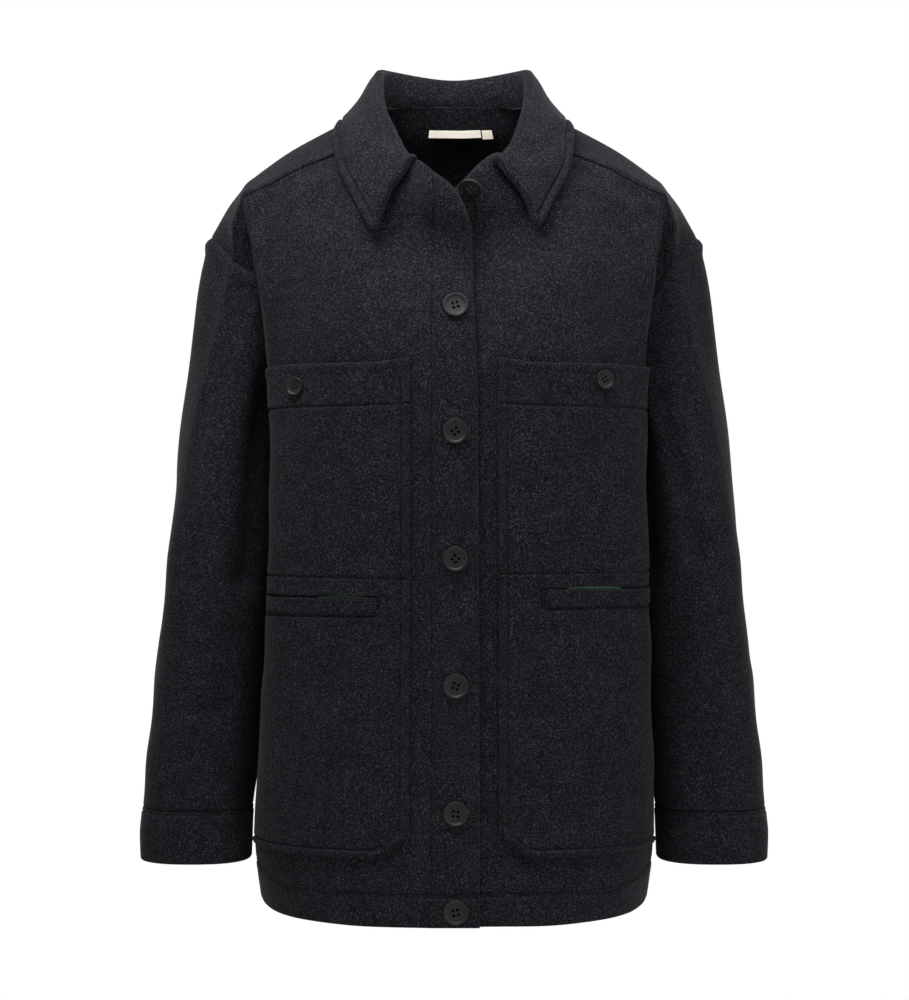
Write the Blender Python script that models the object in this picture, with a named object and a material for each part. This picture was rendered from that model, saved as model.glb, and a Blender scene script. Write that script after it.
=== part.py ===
# Lumber jacket: a charcoal wool shirt jacket with a fold-down collar, yoke, two
# tall patch pockets, buttoned front, cuffs and a hem band, filled out and empty.
# Z is up, the front faces -Y, the wearer's left is +X, and the origin is the
# centre of the neck at the height where the collar meets the shoulder.
import math
from collections import namedtuple

import bmesh
import bpy
import numpy as np
from mathutils import Matrix, Vector

CLOTH = 0.0024
DOUBLE = 0.0044
COLLAR_CLOTH = 0.0034
SEAM = 0.0002
LAY = 0.0004

HEM_EDGE = -0.715
HEM_SEAM = -0.686
ARMPIT = -0.320
NECK_CORNER = -0.0555
YOKE_BACK = -0.130

PLACKET_SEAM = 0.0195
OVERLAP = 0.0030
OVERLAP_REACH = 0.050

POCKET_TOP = -0.2247
POCKET_BASE = -0.655
POCKET_CHAMFER = 0.019
WELT_TOP = -0.4285
WELT_BASE = -0.4433
LINING_SHOWS = 0.0022

BUTTON_RADIUS = 0.0108
BUTTON_THICK = 0.0032
SMALL_BUTTON_RADIUS = 0.0075
FIRST_BUTTON = -0.1746
BUTTON_SPACING = 0.1102
HEM_BUTTON = -0.7005
BUTTON_LINE = 0.0015

FrontSection = namedtuple("FrontSection", "inner_x inner_y inner_z mid_y ridge_x ridge_y ridge_z "
                          "edge_x edge_y edge_z hollow")
FRONT_SECTIONS = [
    FrontSection(0.0195, -0.1500, -0.715, -0.138, 0.1560, -0.083, -0.715, 0.1790, 0.000, -0.715, 0.000),
    FrontSection(0.0195, -0.1500, -0.686, -0.138, 0.1620, -0.085, -0.686, 0.1840, 0.000, -0.686, 0.000),
    FrontSection(0.0195, -0.1490, -0.650, -0.137, 0.1665, -0.087, -0.650, 0.1850, 0.000, -0.650, 0.000),
    FrontSection(0.0195, -0.1480, -0.580, -0.136, 0.1695, -0.088, -0.580, 0.1770, 0.000, -0.580, 0.000),
    FrontSection(0.0195, -0.1475, -0.500, -0.136, 0.1705, -0.088, -0.500, 0.1660, 0.000, -0.500, 0.000),
    FrontSection(0.0195, -0.1490, -0.410, -0.139, 0.1685, -0.090, -0.410, 0.1590, 0.000, -0.410, 0.002),
    FrontSection(0.0195, -0.1510, -0.320, -0.142, 0.1665, -0.092, -0.320, 0.1560, 0.000, -0.320, 0.002),
    FrontSection(0.0195, -0.1500, -0.2247, -0.143, 0.1690, -0.090, -0.2247, 0.1660, -0.038, -0.2247, 0.003),
    FrontSection(0.0195, -0.1370, -0.144, -0.127, 0.1765, -0.084, -0.150, 0.1835, -0.049, -0.168, 0.004),
    FrontSection(0.0195, -0.1105, -0.0555, -0.094, 0.1860, -0.070, -0.096, 0.1930, -0.0495, -0.143, 0.005),
    FrontSection(0.0560, -0.0880, -0.0360, -0.076, 0.1890, -0.064, -0.077, 0.1963, -0.0485, -0.1345, 0.003),
    FrontSection(0.0790, -0.0450, -0.0120, -0.0605, 0.1900, -0.060, -0.0645, 0.1980, -0.048, -0.128, 0.000),
]
FRONT_COLUMNS = [0.0, 0.075, 0.15, 0.18, 0.22, 0.31, 0.40, 0.49, 0.57, 0.645, 0.72, 0.80, 0.90, 1.0]
FRONT_KNOTS = [0.0, 0.32, 0.645, 0.82, 1.0]
POCKET_FIRST, POCKET_LAST = 1, 11
WELT_ENDS = {"left": (4, 10), "right": (3, 10)}
LINING_ENDS = {"left": (5, 7), "right": (4, 6)}

PlacketEdge = namedtuple("PlacketEdge", "seam_z free_x drop")
PLACKET_EDGES = [
    PlacketEdge(-0.715, -0.0225, 0.0000),
    PlacketEdge(-0.400, -0.0215, 0.0000),
    PlacketEdge(-0.250, -0.0200, 0.0000),
    PlacketEdge(-0.170, -0.0173, 0.0030),
    PlacketEdge(-0.120, -0.0142, 0.0080),
    PlacketEdge(-0.090, -0.0105, 0.0100),
    PlacketEdge(-0.070, -0.0045, 0.0105),
    PlacketEdge(-0.0555, 0.0035, 0.0115),
]
UNDER_LEAN = 0.012

BackSection = namedtuple("BackSection", "z centre_y mid_y blade_x blade_y edge_x edge_y edge_z")
BACK_SECTIONS = [
    BackSection(-0.715, 0.140, 0.126, 0.1540, 0.082, 0.1790, 0.000, -0.715),
    BackSection(-0.686, 0.141, 0.127, 0.1600, 0.084, 0.1840, 0.000, -0.686),
    BackSection(-0.650, 0.142, 0.128, 0.1640, 0.086, 0.1850, 0.000, -0.650),
    BackSection(-0.580, 0.143, 0.130, 0.1675, 0.088, 0.1770, 0.000, -0.580),
    BackSection(-0.500, 0.144, 0.132, 0.1685, 0.089, 0.1660, 0.000, -0.500),
    BackSection(-0.410, 0.143, 0.131, 0.1665, 0.090, 0.1590, 0.000, -0.410),
    BackSection(-0.320, 0.142, 0.131, 0.1650, 0.089, 0.1560, 0.000, -0.320),
    BackSection(-0.250, 0.140, 0.129, 0.1680, 0.087, 0.1630, 0.033, -0.250),
    BackSection(-0.190, 0.135, 0.126, 0.1760, 0.083, 0.1740, 0.047, -0.188),
    BackSection(-0.130, 0.125, 0.118, 0.1870, 0.074, 0.1990, 0.052, -0.128),
]
BACK_COLUMNS = 18
BACK_ROWS_LOW, BACK_ROWS_HIGH = 11, 8

YokeSpoke = namedtuple("YokeSpoke", "reach neck near top brow edge")
YOKE_SPOKES = [
    YokeSpoke(0.000, (0.079, -0.045, -0.012), (0.105, -0.057, -0.028), (0.150, -0.061, -0.047),
              (0.190, -0.060, -0.0645), (0.198, -0.048, -0.128)),
    YokeSpoke(0.065, (0.076, -0.005, 0.0195), (0.115, -0.004, -0.0006), (0.160, -0.002, -0.0255),
              (0.1975, 0.000, -0.0535), (0.2255, 0.000, -0.1000)),
    YokeSpoke(0.127, (0.058, 0.036, 0.0270), (0.088, 0.050, 0.0065), (0.130, 0.064, -0.0240),
              (0.171, 0.067, -0.066), (0.199, 0.052, -0.128)),
    YokeSpoke(0.247, (0.032, 0.0505, 0.0295), (0.045, 0.066, 0.004), (0.065, 0.088, -0.040),
              (0.085, 0.107, -0.090), (0.100, 0.118, -0.130)),
    YokeSpoke(0.347, (0.000, 0.054, 0.030), (0.000, 0.071, 0.003), (0.000, 0.092, -0.041),
              (0.000, 0.112, -0.090), (0.000, 0.125, -0.130)),
]
YOKE_KNOTS = [0.0, 0.18, 0.45, 0.70, 1.0]
YOKE_ARM_STEPS = 3

SleeveRing = namedtuple("SleeveRing", "run z outer_x inner_x front_y back_y")
SLEEVE_RINGS = [
    SleeveRing(0.165, -0.360, 0.2622, 0.1670, -0.066, 0.074),
    SleeveRing(0.225, -0.420, 0.2680, 0.1700, -0.066, 0.070),
    SleeveRing(0.305, -0.500, 0.2758, 0.1765, -0.064, 0.062),
    SleeveRing(0.385, -0.580, 0.2836, 0.1840, -0.062, 0.053),
    SleeveRing(0.433, -0.626, 0.2872, 0.1890, -0.060, 0.046),
]
CUFF_RINGS = [
    SleeveRing(0.000, -0.6265, 0.2888, 0.1885, -0.062, 0.048),
    SleeveRing(0.025, -0.651, 0.2905, 0.1893, -0.062, 0.047),
    SleeveRing(0.050, -0.6745, 0.2895, 0.1900, -0.060, 0.045),
]
SLEEVE_ROWS = [0.0, 0.012, 0.035, 0.062, 0.092, 0.128, 0.165, 0.200, 0.235, 0.270, 0.305, 0.340,
               0.375, 0.405, 0.433]
SLEEVE_SQUARE = 2.4
CAP_STEPS = [(0.06, 0.012, 0.0036), (0.33, 0.058, 0.0058), (0.66, 0.112, 0.0040)]

CollarStation = namedtuple("CollarStation", "reach seam fold edge roll belly")
COLLAR_STATIONS = [
    CollarStation(0.000, (0.0370, -0.1030, -0.0440), (0.0368, -0.1075, -0.0425),
                  (0.0730, -0.1270, -0.1095), 0.0026, 0.0030),
    CollarStation(0.028, (0.0562, -0.0858, -0.0322), (0.0505, -0.0905, -0.0255),
                  (0.0845, -0.1120, -0.0870), 0.0030, 0.0030),
    CollarStation(0.055, (0.0695, -0.0655, -0.0195), (0.0595, -0.0645, 0.0005),
                  (0.1005, -0.0820, -0.0410), 0.0036, 0.0020),
    CollarStation(0.127, (0.0755, -0.0055, 0.0207), (0.0665, 0.0000, 0.0525),
                  (0.1045, -0.0040, 0.0104), 0.0042, -0.0035),
    CollarStation(0.177, (0.0575, 0.0355, 0.0282), (0.0555, 0.0380, 0.0600),
                  (0.0850, 0.0690, 0.0060), 0.0044, -0.0010),
    CollarStation(0.240, (0.0000, 0.0534, 0.0312), (0.0000, 0.0585, 0.0555),
                  (0.0000, 0.0900, -0.0070), 0.0044, 0.0010),
]
COLLAR_STEPS = 34
COLLAR_PROFILE = [0.0, 0.10, 0.20, 0.27, 0.32, 0.37, 0.43, 0.52, 0.64, 0.76, 0.88, 1.0]

Fold = namedtuple("Fold", "row_from column_from row_to column_to width depth")
SLEEVE_FOLDS = [
    Fold(0.14, 0.16, 0.46, 0.13, 0.016, 0.0050),
    Fold(0.10, 0.27, 0.36, 0.22, 0.013, 0.0045),
    Fold(0.56, 0.30, 0.72, 0.10, 0.014, 0.0035),
    Fold(0.52, 0.72, 0.66, 0.92, 0.015, 0.0045),
    Fold(0.80, 0.24, 0.93, 0.14, 0.012, 0.0030),
]
BACK_FOLDS = [
    Fold(0.10, 0.30, 0.80, 0.33, 0.020, 0.0045),
    Fold(0.10, 0.70, 0.72, 0.68, 0.020, 0.0045),
    Fold(0.45, 0.12, 0.75, 0.20, 0.016, 0.0040),
    Fold(0.42, 0.88, 0.74, 0.80, 0.016, 0.0040),
]
FRONT_FOLDS = [
    Fold(0.78, 0.78, 0.92, 0.52, 0.014, 0.0030),
]

LABEL_THICK = 0.0006
LABEL_CENTRE, LABEL_HALF = 0.002, 0.062
LABEL_TOP, LABEL_BASE = 0.128, 0.178
TAB_CENTRE, TAB_HALF = 0.0795, 0.0135
TAB_TOP, TAB_BASE = 0.130, 0.195


def spline(knots, values, at):
    knots, values, at = np.asarray(knots, float), np.asarray(values, float), np.asarray(at, float)
    step = np.diff(knots)
    shape = (-1,) + (1,) * (values.ndim - 1)
    slope = np.diff(values, axis=0) / step.reshape(shape)
    tangent = np.empty_like(values)
    tangent[0], tangent[-1] = slope[0], slope[-1]
    before, after = step[:-1].reshape(shape), step[1:].reshape(shape)
    steady = (slope[:-1] * after + slope[1:] * before) / (before + after)
    bound = 3 * np.minimum(np.abs(slope[:-1]), np.abs(slope[1:]))
    tangent[1:-1] = np.where(slope[:-1] * slope[1:] > 0, np.clip(steady, -bound, bound), 0.0)
    low = np.clip(np.searchsorted(knots, at, side="right") - 1, 0, len(knots) - 2)
    part = ((at - knots[low]) / step[low]).reshape(shape)
    width = step[low].reshape(shape)
    return (values[low] * (1 + 2 * part) * (1 - part) ** 2 + values[low + 1] * part ** 2 * (3 - 2 * part)
            + tangent[low] * width * part * (1 - part) ** 2 - tangent[low + 1] * width * part ** 2 * (1 - part))


def loft(keys, row_knots, column_knots, rows, columns):
    along = spline(row_knots, keys, rows)
    return np.moveaxis(spline(column_knots, np.moveaxis(along, 1, 0), columns), 0, 1)


def unit(vectors):
    return vectors / np.maximum(np.linalg.norm(vectors, axis=-1, keepdims=True), 1e-12)


def normals_of(grid, closed=False):
    down = np.gradient(grid, axis=0)
    if closed:
        ring = grid[:, :-1]
        turn = (np.roll(ring, -1, axis=1) - np.roll(ring, 1, axis=1)) / 2
        across = np.concatenate([turn, turn[:, :1]], axis=1)
    else:
        across = np.gradient(grid, axis=1)
    return unit(np.cross(across, down))


def mirrored(grid):
    return grid[:, ::-1] * np.array([-1.0, 1.0, 1.0])


def rising(value, start, end):
    part = np.clip((value - start) / (end - start), 0.0, 1.0)
    return part * part * (3 - 2 * part)


def pressed(grid, normals, folds, closed=False):
    rows, columns = grid.shape[:2]
    result = grid.copy()
    for fold in folds:
        start = grid[round(fold.row_from * (rows - 1)), round(fold.column_from * (columns - 1))]
        end = grid[round(fold.row_to * (rows - 1)), round(fold.column_to * (columns - 1))]
        line = end - start
        part = ((grid - start) @ line) / (line @ line)
        off = grid - start - np.clip(part, 0, 1)[..., None] * line
        near = np.exp(-np.sum(off * off, axis=-1) / fold.width ** 2)
        near[0], near[-1] = 0.0, 0.0
        if not closed:
            near[:, 0], near[:, -1] = 0.0, 0.0
        facing = np.sum(normals * normals[round((fold.row_from + fold.row_to) / 2 * (rows - 1)),
                                          round((fold.column_from + fold.column_to) / 2 * (columns - 1))], axis=-1)
        result -= normals * (fold.depth * near * np.clip(facing, 0, 1))[..., None]
    return result


def trimmed(grid, low=SEAM, high=SEAM, first=SEAM, last=SEAM):
    result = grid.copy()
    result[0] += unit(grid[1] - grid[0]) * low
    result[-1] += unit(grid[-2] - grid[-1]) * high
    result[:, 0] += unit(grid[:, 1] - grid[:, 0]) * first
    result[:, -1] += unit(grid[:, -2] - grid[:, -1]) * last
    return result


def add_sheet(bm, grid):
    rows, columns = grid.shape[:2]
    made = bmesh.ops.create_grid(bm, x_segments=columns - 1, y_segments=rows - 1, size=1.0)["verts"]
    for vertex, place in zip(made, grid.reshape(-1, 3)):
        vertex.co = place
    return [made[row * columns:(row + 1) * columns] for row in range(rows)]


def finished(bm, name, material):
    bmesh.ops.triangulate(bm, faces=bm.faces)
    bmesh.ops.recalc_face_normals(bm, faces=bm.faces)
    mesh = bpy.data.meshes.new(name)
    bm.to_mesh(mesh)
    bm.free()
    mesh.materials.append(material)
    piece = bpy.data.objects.new(name, mesh)
    parts.objects.link(piece)
    return piece


def wall(name, outside, inside, material):
    bm = bmesh.new()
    add_sheet(bm, outside)
    add_sheet(bm, inside)
    bmesh.ops.bridge_loops(bm, edges=[edge for edge in bm.edges if edge.is_boundary])
    return finished(bm, name, material)


def tube(name, outside, inside, material):
    bm = bmesh.new()
    lines = add_sheet(bm, np.concatenate([outside, inside[::-1], outside[:1]]))
    bmesh.ops.weld_verts(bm, targetmap={line[-1]: line[0] for line in lines})
    bmesh.ops.weld_verts(bm, targetmap=dict(zip(lines[-1][:-1], lines[0][:-1])))
    return finished(bm, name, material)


def fabric_wall(name, grid, normals, thick, material, closed=False, **trim):
    outside = trimmed(grid, **trim)
    return (tube if closed else wall)(name, outside, outside - normals * thick, material)


def make_material(name, colour, rough):
    material = bpy.data.materials.new(name)
    material.use_nodes = True
    surface = material.node_tree.nodes["Principled BSDF"]
    surface.inputs["Base Color"].default_value = (*colour, 1.0)
    surface.inputs["Roughness"].default_value = rough
    material.diffuse_color = (*colour, 1.0)
    return material


def front_keys():
    keys, knots = [], []
    for section in FRONT_SECTIONS:
        inner = np.array([section.inner_x, section.inner_y, section.inner_z])
        ridge = np.array([section.ridge_x, section.ridge_y, section.ridge_z])
        edge = np.array([section.edge_x, section.edge_y, section.edge_z])
        mid = np.array([inner[0] + 0.55 * (ridge[0] - inner[0]), section.mid_y, (inner[2] + ridge[2]) / 2])
        hollow = (ridge + edge) / 2 + np.array([-0.6, 0.8, 0.0]) * section.hollow
        hollow[0] += 0.004
        keys.append([inner, mid, ridge, hollow, edge])
        run = np.linalg.norm(inner - keys[-2][0]) if len(keys) > 1 else 0.0
        knots.append(section.inner_z if section.inner_z <= NECK_CORNER else knots[-1] + run)
    return np.array(keys), np.array(knots)


FRONT_KEYS, FRONT_ROW_KNOTS = front_keys()
NECK_TOP = FRONT_ROW_KNOTS[-1]


def front_surface(rows, columns, over):
    grid = loft(FRONT_KEYS, FRONT_ROW_KNOTS, FRONT_KNOTS, rows, columns)
    shift = OVERLAP * np.exp(-((grid[..., 0] - PLACKET_SEAM) / OVERLAP_REACH) ** 2)
    lift = 1 - rising(np.asarray(rows), NECK_CORNER, NECK_TOP)[:, None]
    grid[..., 1] += shift * lift * (-1 if over else 1)
    return grid


def placket_surface(rows, over, steps=3):
    rows = np.asarray(rows)
    seam = front_surface(rows, [0.0], over)[:, 0]
    marks = [mark.seam_z for mark in PLACKET_EDGES]
    free = spline(marks, [(mark.free_x, mark.drop) for mark in PLACKET_EDGES], rows)
    part = np.linspace(0, 1, steps + 1)
    across = seam[:, 0:1] + (free[:, 0:1] - seam[:, 0:1]) * part
    height = seam[:, 2:3] - free[:, 1:2] * part ** 1.5
    depth = spline(rows, seam[:, 1], np.clip(height, rows[0], rows[-1]).ravel()).reshape(height.shape)
    opened = rising(rows, -0.125, NECK_CORNER)[:, None]
    depth += opened * part * (-0.003 * part if over else UNDER_LEAN)
    return np.stack([across, depth, height], axis=-1)[:, ::-1]


def back_surface(rows, columns):
    keys, knots = [], []
    for section in BACK_SECTIONS:
        half = [(section.edge_x, section.edge_y, section.edge_z), (section.blade_x, section.blade_y, section.z),
                (0.55 * section.blade_x, section.mid_y, section.z)]
        other = [(-x, y, z) for x, y, z in half[::-1]]
        keys.append(half + [(0.0, section.centre_y, section.z)] + other)
        knots.append(section.z)
    return loft(np.array(keys), knots, [0.0, 0.17, 0.33, 0.5, 0.67, 0.83, 1.0], rows, columns)


def yoke_surface(rings, spokes):
    half = [[spoke.neck, spoke.near, spoke.top, spoke.brow, spoke.edge] for spoke in YOKE_SPOKES]
    other = [[(-x, y, z) for x, y, z in line] for line in half]
    keys = np.array(other + half[::-1][1:])
    whole = 2 * YOKE_SPOKES[-1].reach
    reach = [spoke.reach for spoke in YOKE_SPOKES] + [whole - spoke.reach for spoke in YOKE_SPOKES[::-1][1:]]
    return np.moveaxis(loft(keys, reach, YOKE_KNOTS, spokes, rings), 0, 1)


def ring_points(ring, shares):
    turn = np.linspace(0, 2 * math.pi, 361)
    bend = lambda value: np.sign(value) * np.abs(value) ** (2 / SLEEVE_SQUARE)
    centre = ((ring.outer_x + ring.inner_x) / 2, (ring.front_y + ring.back_y) / 2)
    outline = np.stack([centre[0] + (ring.outer_x - ring.inner_x) / 2 * bend(np.cos(turn)),
                        centre[1] + (ring.front_y - ring.back_y) / 2 * bend(np.sin(turn)),
                        np.full_like(turn, ring.z)], axis=-1)
    run = np.concatenate([[0], np.cumsum(np.linalg.norm(np.diff(outline, axis=0), axis=1))])
    return np.stack([np.interp(np.asarray(shares) * run[-1], run, outline[:, axis]) for axis in range(3)], axis=-1)


def ring_shares(armhole, underarm):
    run = np.concatenate([[0], np.cumsum(np.linalg.norm(np.diff(armhole, axis=0), axis=1))])
    return np.where(run <= run[underarm], 0.5 * run / run[underarm],
                    0.5 + 0.5 * (run - run[underarm]) / (run[-1] - run[underarm]))


def sleeve_surface(armhole, shares):
    first = ring_points(SLEEVE_RINGS[0], shares)
    centre = first.mean(axis=0)
    outward = unit((first - centre) * np.array([1.0, 1.0, 0.0]))
    puffed = np.clip((armhole[:, 2:3] - ARMPIT) / 0.12, 0, 1) * np.clip(outward[:, 0:1] + 0.6, 0, 1)
    inside = np.clip(-outward[:, 0:1], 0, 1) * np.array([1.0, 0.0, 0.0])
    keys, knots = [armhole], [0.0]
    for share, run, puff in CAP_STEPS:
        keys.append(armhole + (first - armhole) * share + outward * puff * puffed + inside * puff)
        knots.append(run)
    for ring in SLEEVE_RINGS:
        keys.append(ring_points(ring, shares))
        knots.append(ring.run)
    return spline(knots, np.array(keys), SLEEVE_ROWS)


def collar_surface(stations, profile):
    half = []
    for station in COLLAR_STATIONS:
        seam, fold, edge = (np.array(point) for point in (station.seam, station.fold, station.edge))
        away = unit(np.array([fold[0], fold[1] + 0.02, 0.0]))
        lift = np.array([0.0, 0.0, 1.0])
        outer = fold + away * 2 * station.roll
        lean = unit(np.cross(np.cross(edge - outer, away), edge - outer))
        half.append([seam, (seam + fold) / 2 - away * 0.001, fold - lift * station.roll,
                     fold + away * station.roll, outer - lift * station.roll,
                     (outer + edge) / 2 + lean * station.belly, edge])
    other = [[point * np.array([-1.0, 1.0, 1.0]) for point in line] for line in half]
    keys = np.array(other + half[::-1][1:])
    whole = 2 * COLLAR_STATIONS[-1].reach
    reach = [s.reach for s in COLLAR_STATIONS] + [whole - s.reach for s in COLLAR_STATIONS[::-1][1:]]
    grid = loft(keys, reach, [0.0, 0.13, 0.25, 0.32, 0.39, 0.70, 1.0], np.asarray(stations) * whole, profile)
    return np.moveaxis(grid, 0, 1)


def turned_button(name, radius, thick, place, facing, spin):
    rim, floor = radius * 0.86, thick * 0.62
    profile = [(0.0, 0.0), (radius * 0.8, 0.0), (radius, thick * 0.35), (radius * 0.985, thick * 0.8),
               (radius * 0.93, thick), (rim, thick * 0.97), (radius * 0.72, floor), (0.0, floor)]
    bm = bmesh.new()
    corners = [bm.verts.new((x, 0.0, z)) for x, z in profile]
    for start, end in zip(corners, corners[1:]):
        bm.edges.new((start, end))
    bmesh.ops.spin(bm, geom=bm.verts[:] + bm.edges[:], axis=(0, 0, 1), cent=(0, 0, 0), dvec=(0, 0, 0),
                   angle=2 * math.pi, steps=18, use_merge=True)
    bmesh.ops.remove_doubles(bm, verts=bm.verts, dist=0.00001)
    button = finished(bm, name, plastic)
    drill = bmesh.new()
    for corner in range(4):
        angle = math.pi / 4 + corner * math.pi / 2
        offset = Matrix.Translation((radius * 0.27 * math.cos(angle), radius * 0.27 * math.sin(angle), thick / 2))
        bmesh.ops.create_cone(drill, cap_ends=True, segments=6, radius1=radius * 0.11, radius2=radius * 0.11,
                              depth=thick * 2, matrix=offset)
    mesh = bpy.data.meshes.new(name + "_drill")
    drill.to_mesh(mesh)
    drill.free()
    cutter = bpy.data.objects.new(name + "_drill", mesh)
    cutter.hide_render = True
    cutter.display_type = "WIRE"
    cutters.objects.link(cutter)
    holes = button.modifiers.new("thread_holes", "BOOLEAN")
    holes.object = cutter
    holes.operation = "DIFFERENCE"
    holes.solver = "EXACT"
    turn = Vector(facing).to_track_quat("Z", "Y").to_matrix().to_4x4() @ Matrix.Rotation(spin, 4, "Z")
    button.matrix_world = cutter.matrix_world = Matrix.Translation(Vector(place)) @ turn
    return button


for leftover in list(bpy.data.objects):
    bpy.data.objects.remove(leftover)
parts = bpy.data.collections.new("lumber_jacket")
cutters = bpy.data.collections.new("lumber_jacket_cutters")
bpy.context.scene.collection.children.link(parts)
bpy.context.scene.collection.children.link(cutters)

wool = make_material("charcoal_wool", (0.045, 0.045, 0.052), 0.95)
plastic = make_material("button_plastic", (0.04, 0.04, 0.043), 0.5)
lining_cloth = make_material("green_lining", (0.08, 0.20, 0.11), 0.8)
label_cloth = make_material("cream_label", (0.75, 0.72, 0.64), 0.8)

low_rows = [HEM_SEAM, POCKET_BASE, POCKET_BASE + POCKET_CHAMFER, -0.608, -0.575, -0.541, -0.507, -0.475,
            WELT_BASE, WELT_TOP, -0.395, -0.358, ARMPIT]
high_rows = [-0.290, -0.2604, POCKET_TOP, -0.184, -0.144, -0.104, NECK_CORNER]
neck_rows = list(NECK_CORNER + (NECK_TOP - NECK_CORNER) * np.array([0.19, 0.4, 0.6, 0.8, 1.0]))
front_rows = low_rows + high_rows + neck_rows
armpit_row = front_rows.index(ARMPIT)
corner_row = front_rows.index(NECK_CORNER)

# Torso panels, left first: each right-hand panel is its mirror with the other overlap
fronts = {}
for side, over in (("left", False), ("right", True)):
    grid = front_surface(front_rows, FRONT_COLUMNS, over)
    grid = pressed(grid, normals_of(grid), FRONT_FOLDS)
    fronts[side] = grid if side == "left" else mirrored(grid)

back_columns = np.linspace(0, 1, BACK_COLUMNS + 1)
back_rows = np.concatenate([np.linspace(HEM_SEAM, ARMPIT, BACK_ROWS_LOW + 1),
                            np.linspace(ARMPIT, YOKE_BACK, BACK_ROWS_HIGH + 1)[1:]])
back = back_surface(back_rows, back_columns)
back = pressed(back, normals_of(back), BACK_FOLDS)

# Yoke: its front edges follow the front panels and its lower edge follows the back
arm_reach = YOKE_SPOKES[2].reach
whole_reach = 2 * YOKE_SPOKES[-1].reach
arm_spokes = np.concatenate([np.linspace(0, YOKE_SPOKES[1].reach, YOKE_ARM_STEPS + 1),
                             np.linspace(YOKE_SPOKES[1].reach, arm_reach, YOKE_ARM_STEPS + 1)[1:]])
back_spokes = np.linspace(arm_reach, whole_reach - arm_reach, BACK_COLUMNS + 1)[1:-1]
yoke_spokes = np.concatenate([arm_spokes, back_spokes, whole_reach - arm_spokes[::-1]])
yoke = yoke_surface(FRONT_COLUMNS, yoke_spokes)
arm_count = len(arm_spokes)
share = np.asarray(FRONT_COLUMNS)[:, None, None] ** 2
seam_slice = slice(arm_count - 1, arm_count + BACK_COLUMNS)
yoke[:, seam_slice] += share * (back[-1][::-1] - yoke[-1, seam_slice])
edge_gap_right = fronts["right"][-1][::-1] - yoke[:, 0]
edge_gap_left = fronts["left"][-1] - yoke[:, -1]
for step in range(4):
    yoke[:, step] += edge_gap_right * (1 - step / 4)
    yoke[:, -1 - step] += edge_gap_left * (1 - step / 4)

front_normals = {side: normals_of(grid) for side, grid in fronts.items()}
back_normals, yoke_normals = normals_of(back), normals_of(yoke)
flat = np.array([1.0, 0.0, 1.0])
for normals, column, count in ((front_normals["left"], -1, armpit_row + 1), (front_normals["right"], 0, armpit_row + 1),
                               (back_normals, 0, BACK_ROWS_LOW + 1), (back_normals, -1, BACK_ROWS_LOW + 1)):
    normals[:count, column] = unit(normals[:count, column] * flat)
shared_right = unit(front_normals["right"][-1][::-1] + yoke_normals[:, 0])
shared_left = unit(front_normals["left"][-1] + yoke_normals[:, -1])
front_normals["right"][-1], yoke_normals[:, 0] = shared_right[::-1], shared_right
front_normals["left"][-1], yoke_normals[:, -1] = shared_left, shared_left
shared_back = unit(back_normals[-1][::-1] + yoke_normals[-1, seam_slice])
back_normals[-1], yoke_normals[-1, seam_slice] = shared_back[::-1], shared_back

placket_rows = front_rows[:corner_row + 1]
plackets, placket_normals = {}, {}
for side, over in (("left", False), ("right", True)):
    strip = placket_surface(placket_rows, over)
    plackets[side] = strip if side == "left" else mirrored(strip)
    placket_normals[side] = normals_of(plackets[side])
    mine, theirs = (-1, 0) if side == "left" else (0, -1)
    shared = unit(placket_normals[side][:, mine] + front_normals[side][:corner_row + 1, theirs])
    placket_normals[side][:, mine], front_normals[side][:corner_row + 1, theirs] = shared, shared

for side in fronts:
    fabric_wall("front_" + side, fronts[side], front_normals[side], CLOTH, wool)
    fabric_wall("placket_" + side, plackets[side], placket_normals[side], DOUBLE, wool)
fabric_wall("back", back, back_normals, CLOTH, wool)
fabric_wall("yoke", yoke, yoke_normals, CLOTH, wool)

# The hem band runs round the bottom and across both plackets
hem_rows = [HEM_EDGE, (HEM_EDGE + HEM_SEAM) / 2, HEM_SEAM]
hem_strips = {}
for side, over in (("left", False), ("right", True)):
    ends = placket_surface(hem_rows + placket_rows[1:], over)[:3]
    body = front_surface(hem_rows, FRONT_COLUMNS, over)
    hem_strips[side] = np.concatenate([ends[:, :-1], body], axis=1)
band = np.concatenate([hem_strips["left"], back_surface(hem_rows, back_columns)[:, 1:-1],
                       mirrored(hem_strips["right"])], axis=1)
fabric_wall("hem_band", band, normals_of(band), DOUBLE, wool, low=0.0, first=0.0, last=0.0)

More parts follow.
